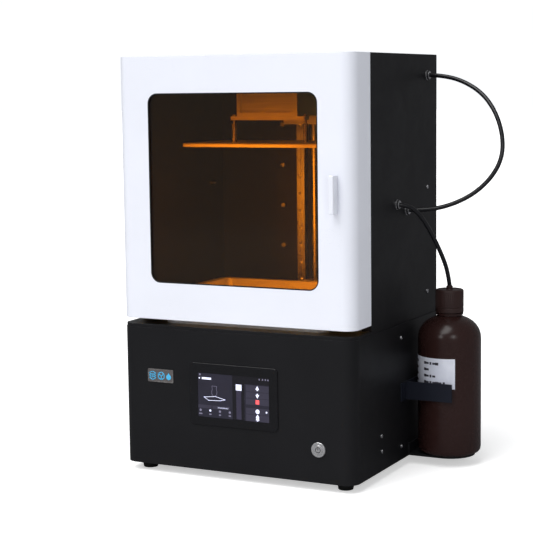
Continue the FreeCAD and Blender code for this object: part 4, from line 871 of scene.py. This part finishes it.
def make_label():
    """The bottle's paper label with rows of plain bars in place of words."""
    paper = wrapped("label_paper", 44.05, -166.0, -60.0, 100.5, 142.5, 0.12)
    material, tree, shader = new_material("label paper")
    grain = use(tree, grain_group, Scale=3000.0, Strength=0.2, Patches=30.0)
    base = blend(tree, grain.outputs["Tone"], lin(196, 200, 214), lin(216, 219, 230))
    tree.links.new(base, shader.inputs["Base Color"])
    tree.links.new(spread(tree, grain.outputs["Pebble"], 0, 1, 0.5, 0.62), shader.inputs["Roughness"])
    tree.links.new(grain.outputs["Normal"], shader.inputs["Normal"])
    dress(paper, material)
    place_piece(paper, "housing", "clear_film")
    bars = []
    for row, blocks in enumerate((5, 2, 4, 7)):
        high = 137.0 - row * 8.9
        starts = [-156.0, -149.0] + [-122.0 + number * 6.6 for number in range(blocks)]
        for number, start in enumerate(starts):
            drop = 0.5 * (number % 2)
            bars.append(wrapped("bar", 44.14, start, start + 5.2, high - 3.8 + drop, high - drop, 0.06))
    ink = together("label_bars", bars)
    dress(ink, coated("label ink", lin(52, 50, 60), 0.5, 2600, 0.1, 0.0, dust=0.0, tone=0.3))
    place_piece(ink, "housing", "gloss_black")


# ------------------------------------------------------------------ ports, button, screw thread
def make_ports():
    """Bright collars in the three hose ports, each with its release ring."""
    collars = []
    for y, z in ((147.0, 356.0), (182.0, 346.0), (260.0, 530.0)):
        collars.append(turned("collar", (175.0, y, z), "X",
                              [(0.0, 6.9), (1.2, 6.9), (1.6, 6.5), (1.6, 5.9), (4.1, 5.6), (4.6, 5.0),
                               (4.6, 3.2), (3.0, 3.1)], 40))
    rings = together("port_collars", collars)
    dress(rings, finishes["steel_bright"])
    place_piece(rings, "housing", "steel_bright")


BUTTON_X, BUTTON_Y, BUTTON_Z = 123.9, -2.4, 44.7


def make_button_mark():
    """The engraved power sign on the button: an open ring and an upright stroke."""
    clear_selection()
    bpy.ops.mesh.primitive_torus_add(major_segments=48, minor_segments=8, major_radius=3.4 * MM,
                                     minor_radius=0.42 * MM, location=at(BUTTON_X, BUTTON_Y, BUTTON_Z),
                                     rotation=(math.pi / 2, 0, 0))
    ring = settle("power_sign")
    centre = at(BUTTON_X, BUTTON_Y, BUTTON_Z)

    def top_part(face):
        away = face.calc_center_median() - centre
        return away.z > 0 and abs(away.x) < 1.5 * MM
    pick(ring, "FACE", top_part)
    bpy.ops.mesh.delete(type="FACE")
    bpy.ops.mesh.select_all(action="SELECT")
    bpy.ops.mesh.select_mode(type="EDGE")
    bpy.ops.mesh.select_non_manifold()
    bpy.ops.mesh.edge_face_add()
    done()
    stroke = ease(bar("power_stroke", (123.5, 124.3), (-2.75, -2.3), (44.7, 49.2)), 0.12)
    sign = together("power_sign", [ring, stroke])
    dress(sign, coated("button paint", lin(30, 30, 34), 0.4, 2600, 0.1, 0.0, dust=0.0))
    place_piece(smooth(sign), "power_button", "plastic_black")


def make_screw():
    """The lifting screw with its round-bottomed thread and plain journals."""
    low, high, lead = 233.0, 549.4, 5.0
    outline = [(4.9, 0.0), (5.1, 0.9), (5.7, 1.7), (6.0, 2.2), (6.0, 3.6), (5.7, 4.1), (5.1, 4.6), (4.9, 5.0)]
    clear_selection()
    bpy.ops.mesh.primitive_plane_add(size=MM, location=(outline[0][0] * MM, 0, 0))
    groove = settle("screw_thread")
    pick(groove, "FACE", lambda face: True)
    bpy.ops.mesh.merge(type="CENTER")
    for (radius, height), (next_radius, next_height) in zip(outline, outline[1:]):
        bpy.ops.mesh.extrude_region_move(
            TRANSFORM_OT_translate={"value": ((next_radius - radius) * MM, 0, (next_height - height) * MM)})
    done()
    wind = groove.modifiers.new("wind", "SCREW")
    wind.axis = "Z"
    wind.angle = 2 * math.pi
    wind.screw_offset = lead * MM
    wind.steps = 28
    wind.render_steps = 28
    wind.iterations = int((high - low) / lead)
    wind.use_merge_vertices = True
    wind.merge_threshold = 0.00001
    clear_selection()
    bpy.context.view_layer.objects.active = groove
    groove.select_set(True)
    bpy.ops.object.modifier_apply(modifier=wind.name)
    groove.location = at(0, 260.0, low)
    bpy.ops.object.transform_apply(location=True, rotation=True, scale=True)
    pick(groove, "FACE", lambda face: True)
    bpy.ops.mesh.normals_make_consistent(inside=False)
    done()
    core = turned("screw_core", (0, 260.0, 0), "Z",
                  [(207.5, 3.6), (207.9, 4.0), (low - 0.2, 4.0), (low - 0.2, 5.0), (high - 1, 5.0),
                   (high - 1, 4.0), (555.1, 4.0), (555.5, 3.6)], 40)
    screw = together("lifting_screw", [core, groove])
    dress(screw, finishes["steel_bright"])
    place_piece(smooth(screw, 50), "lift_screw", "steel_bright", "lead_screw")


make_screen()
make_badge()
make_bottle()
make_cap()
make_label()
make_ports()
make_button_mark()
make_screw()
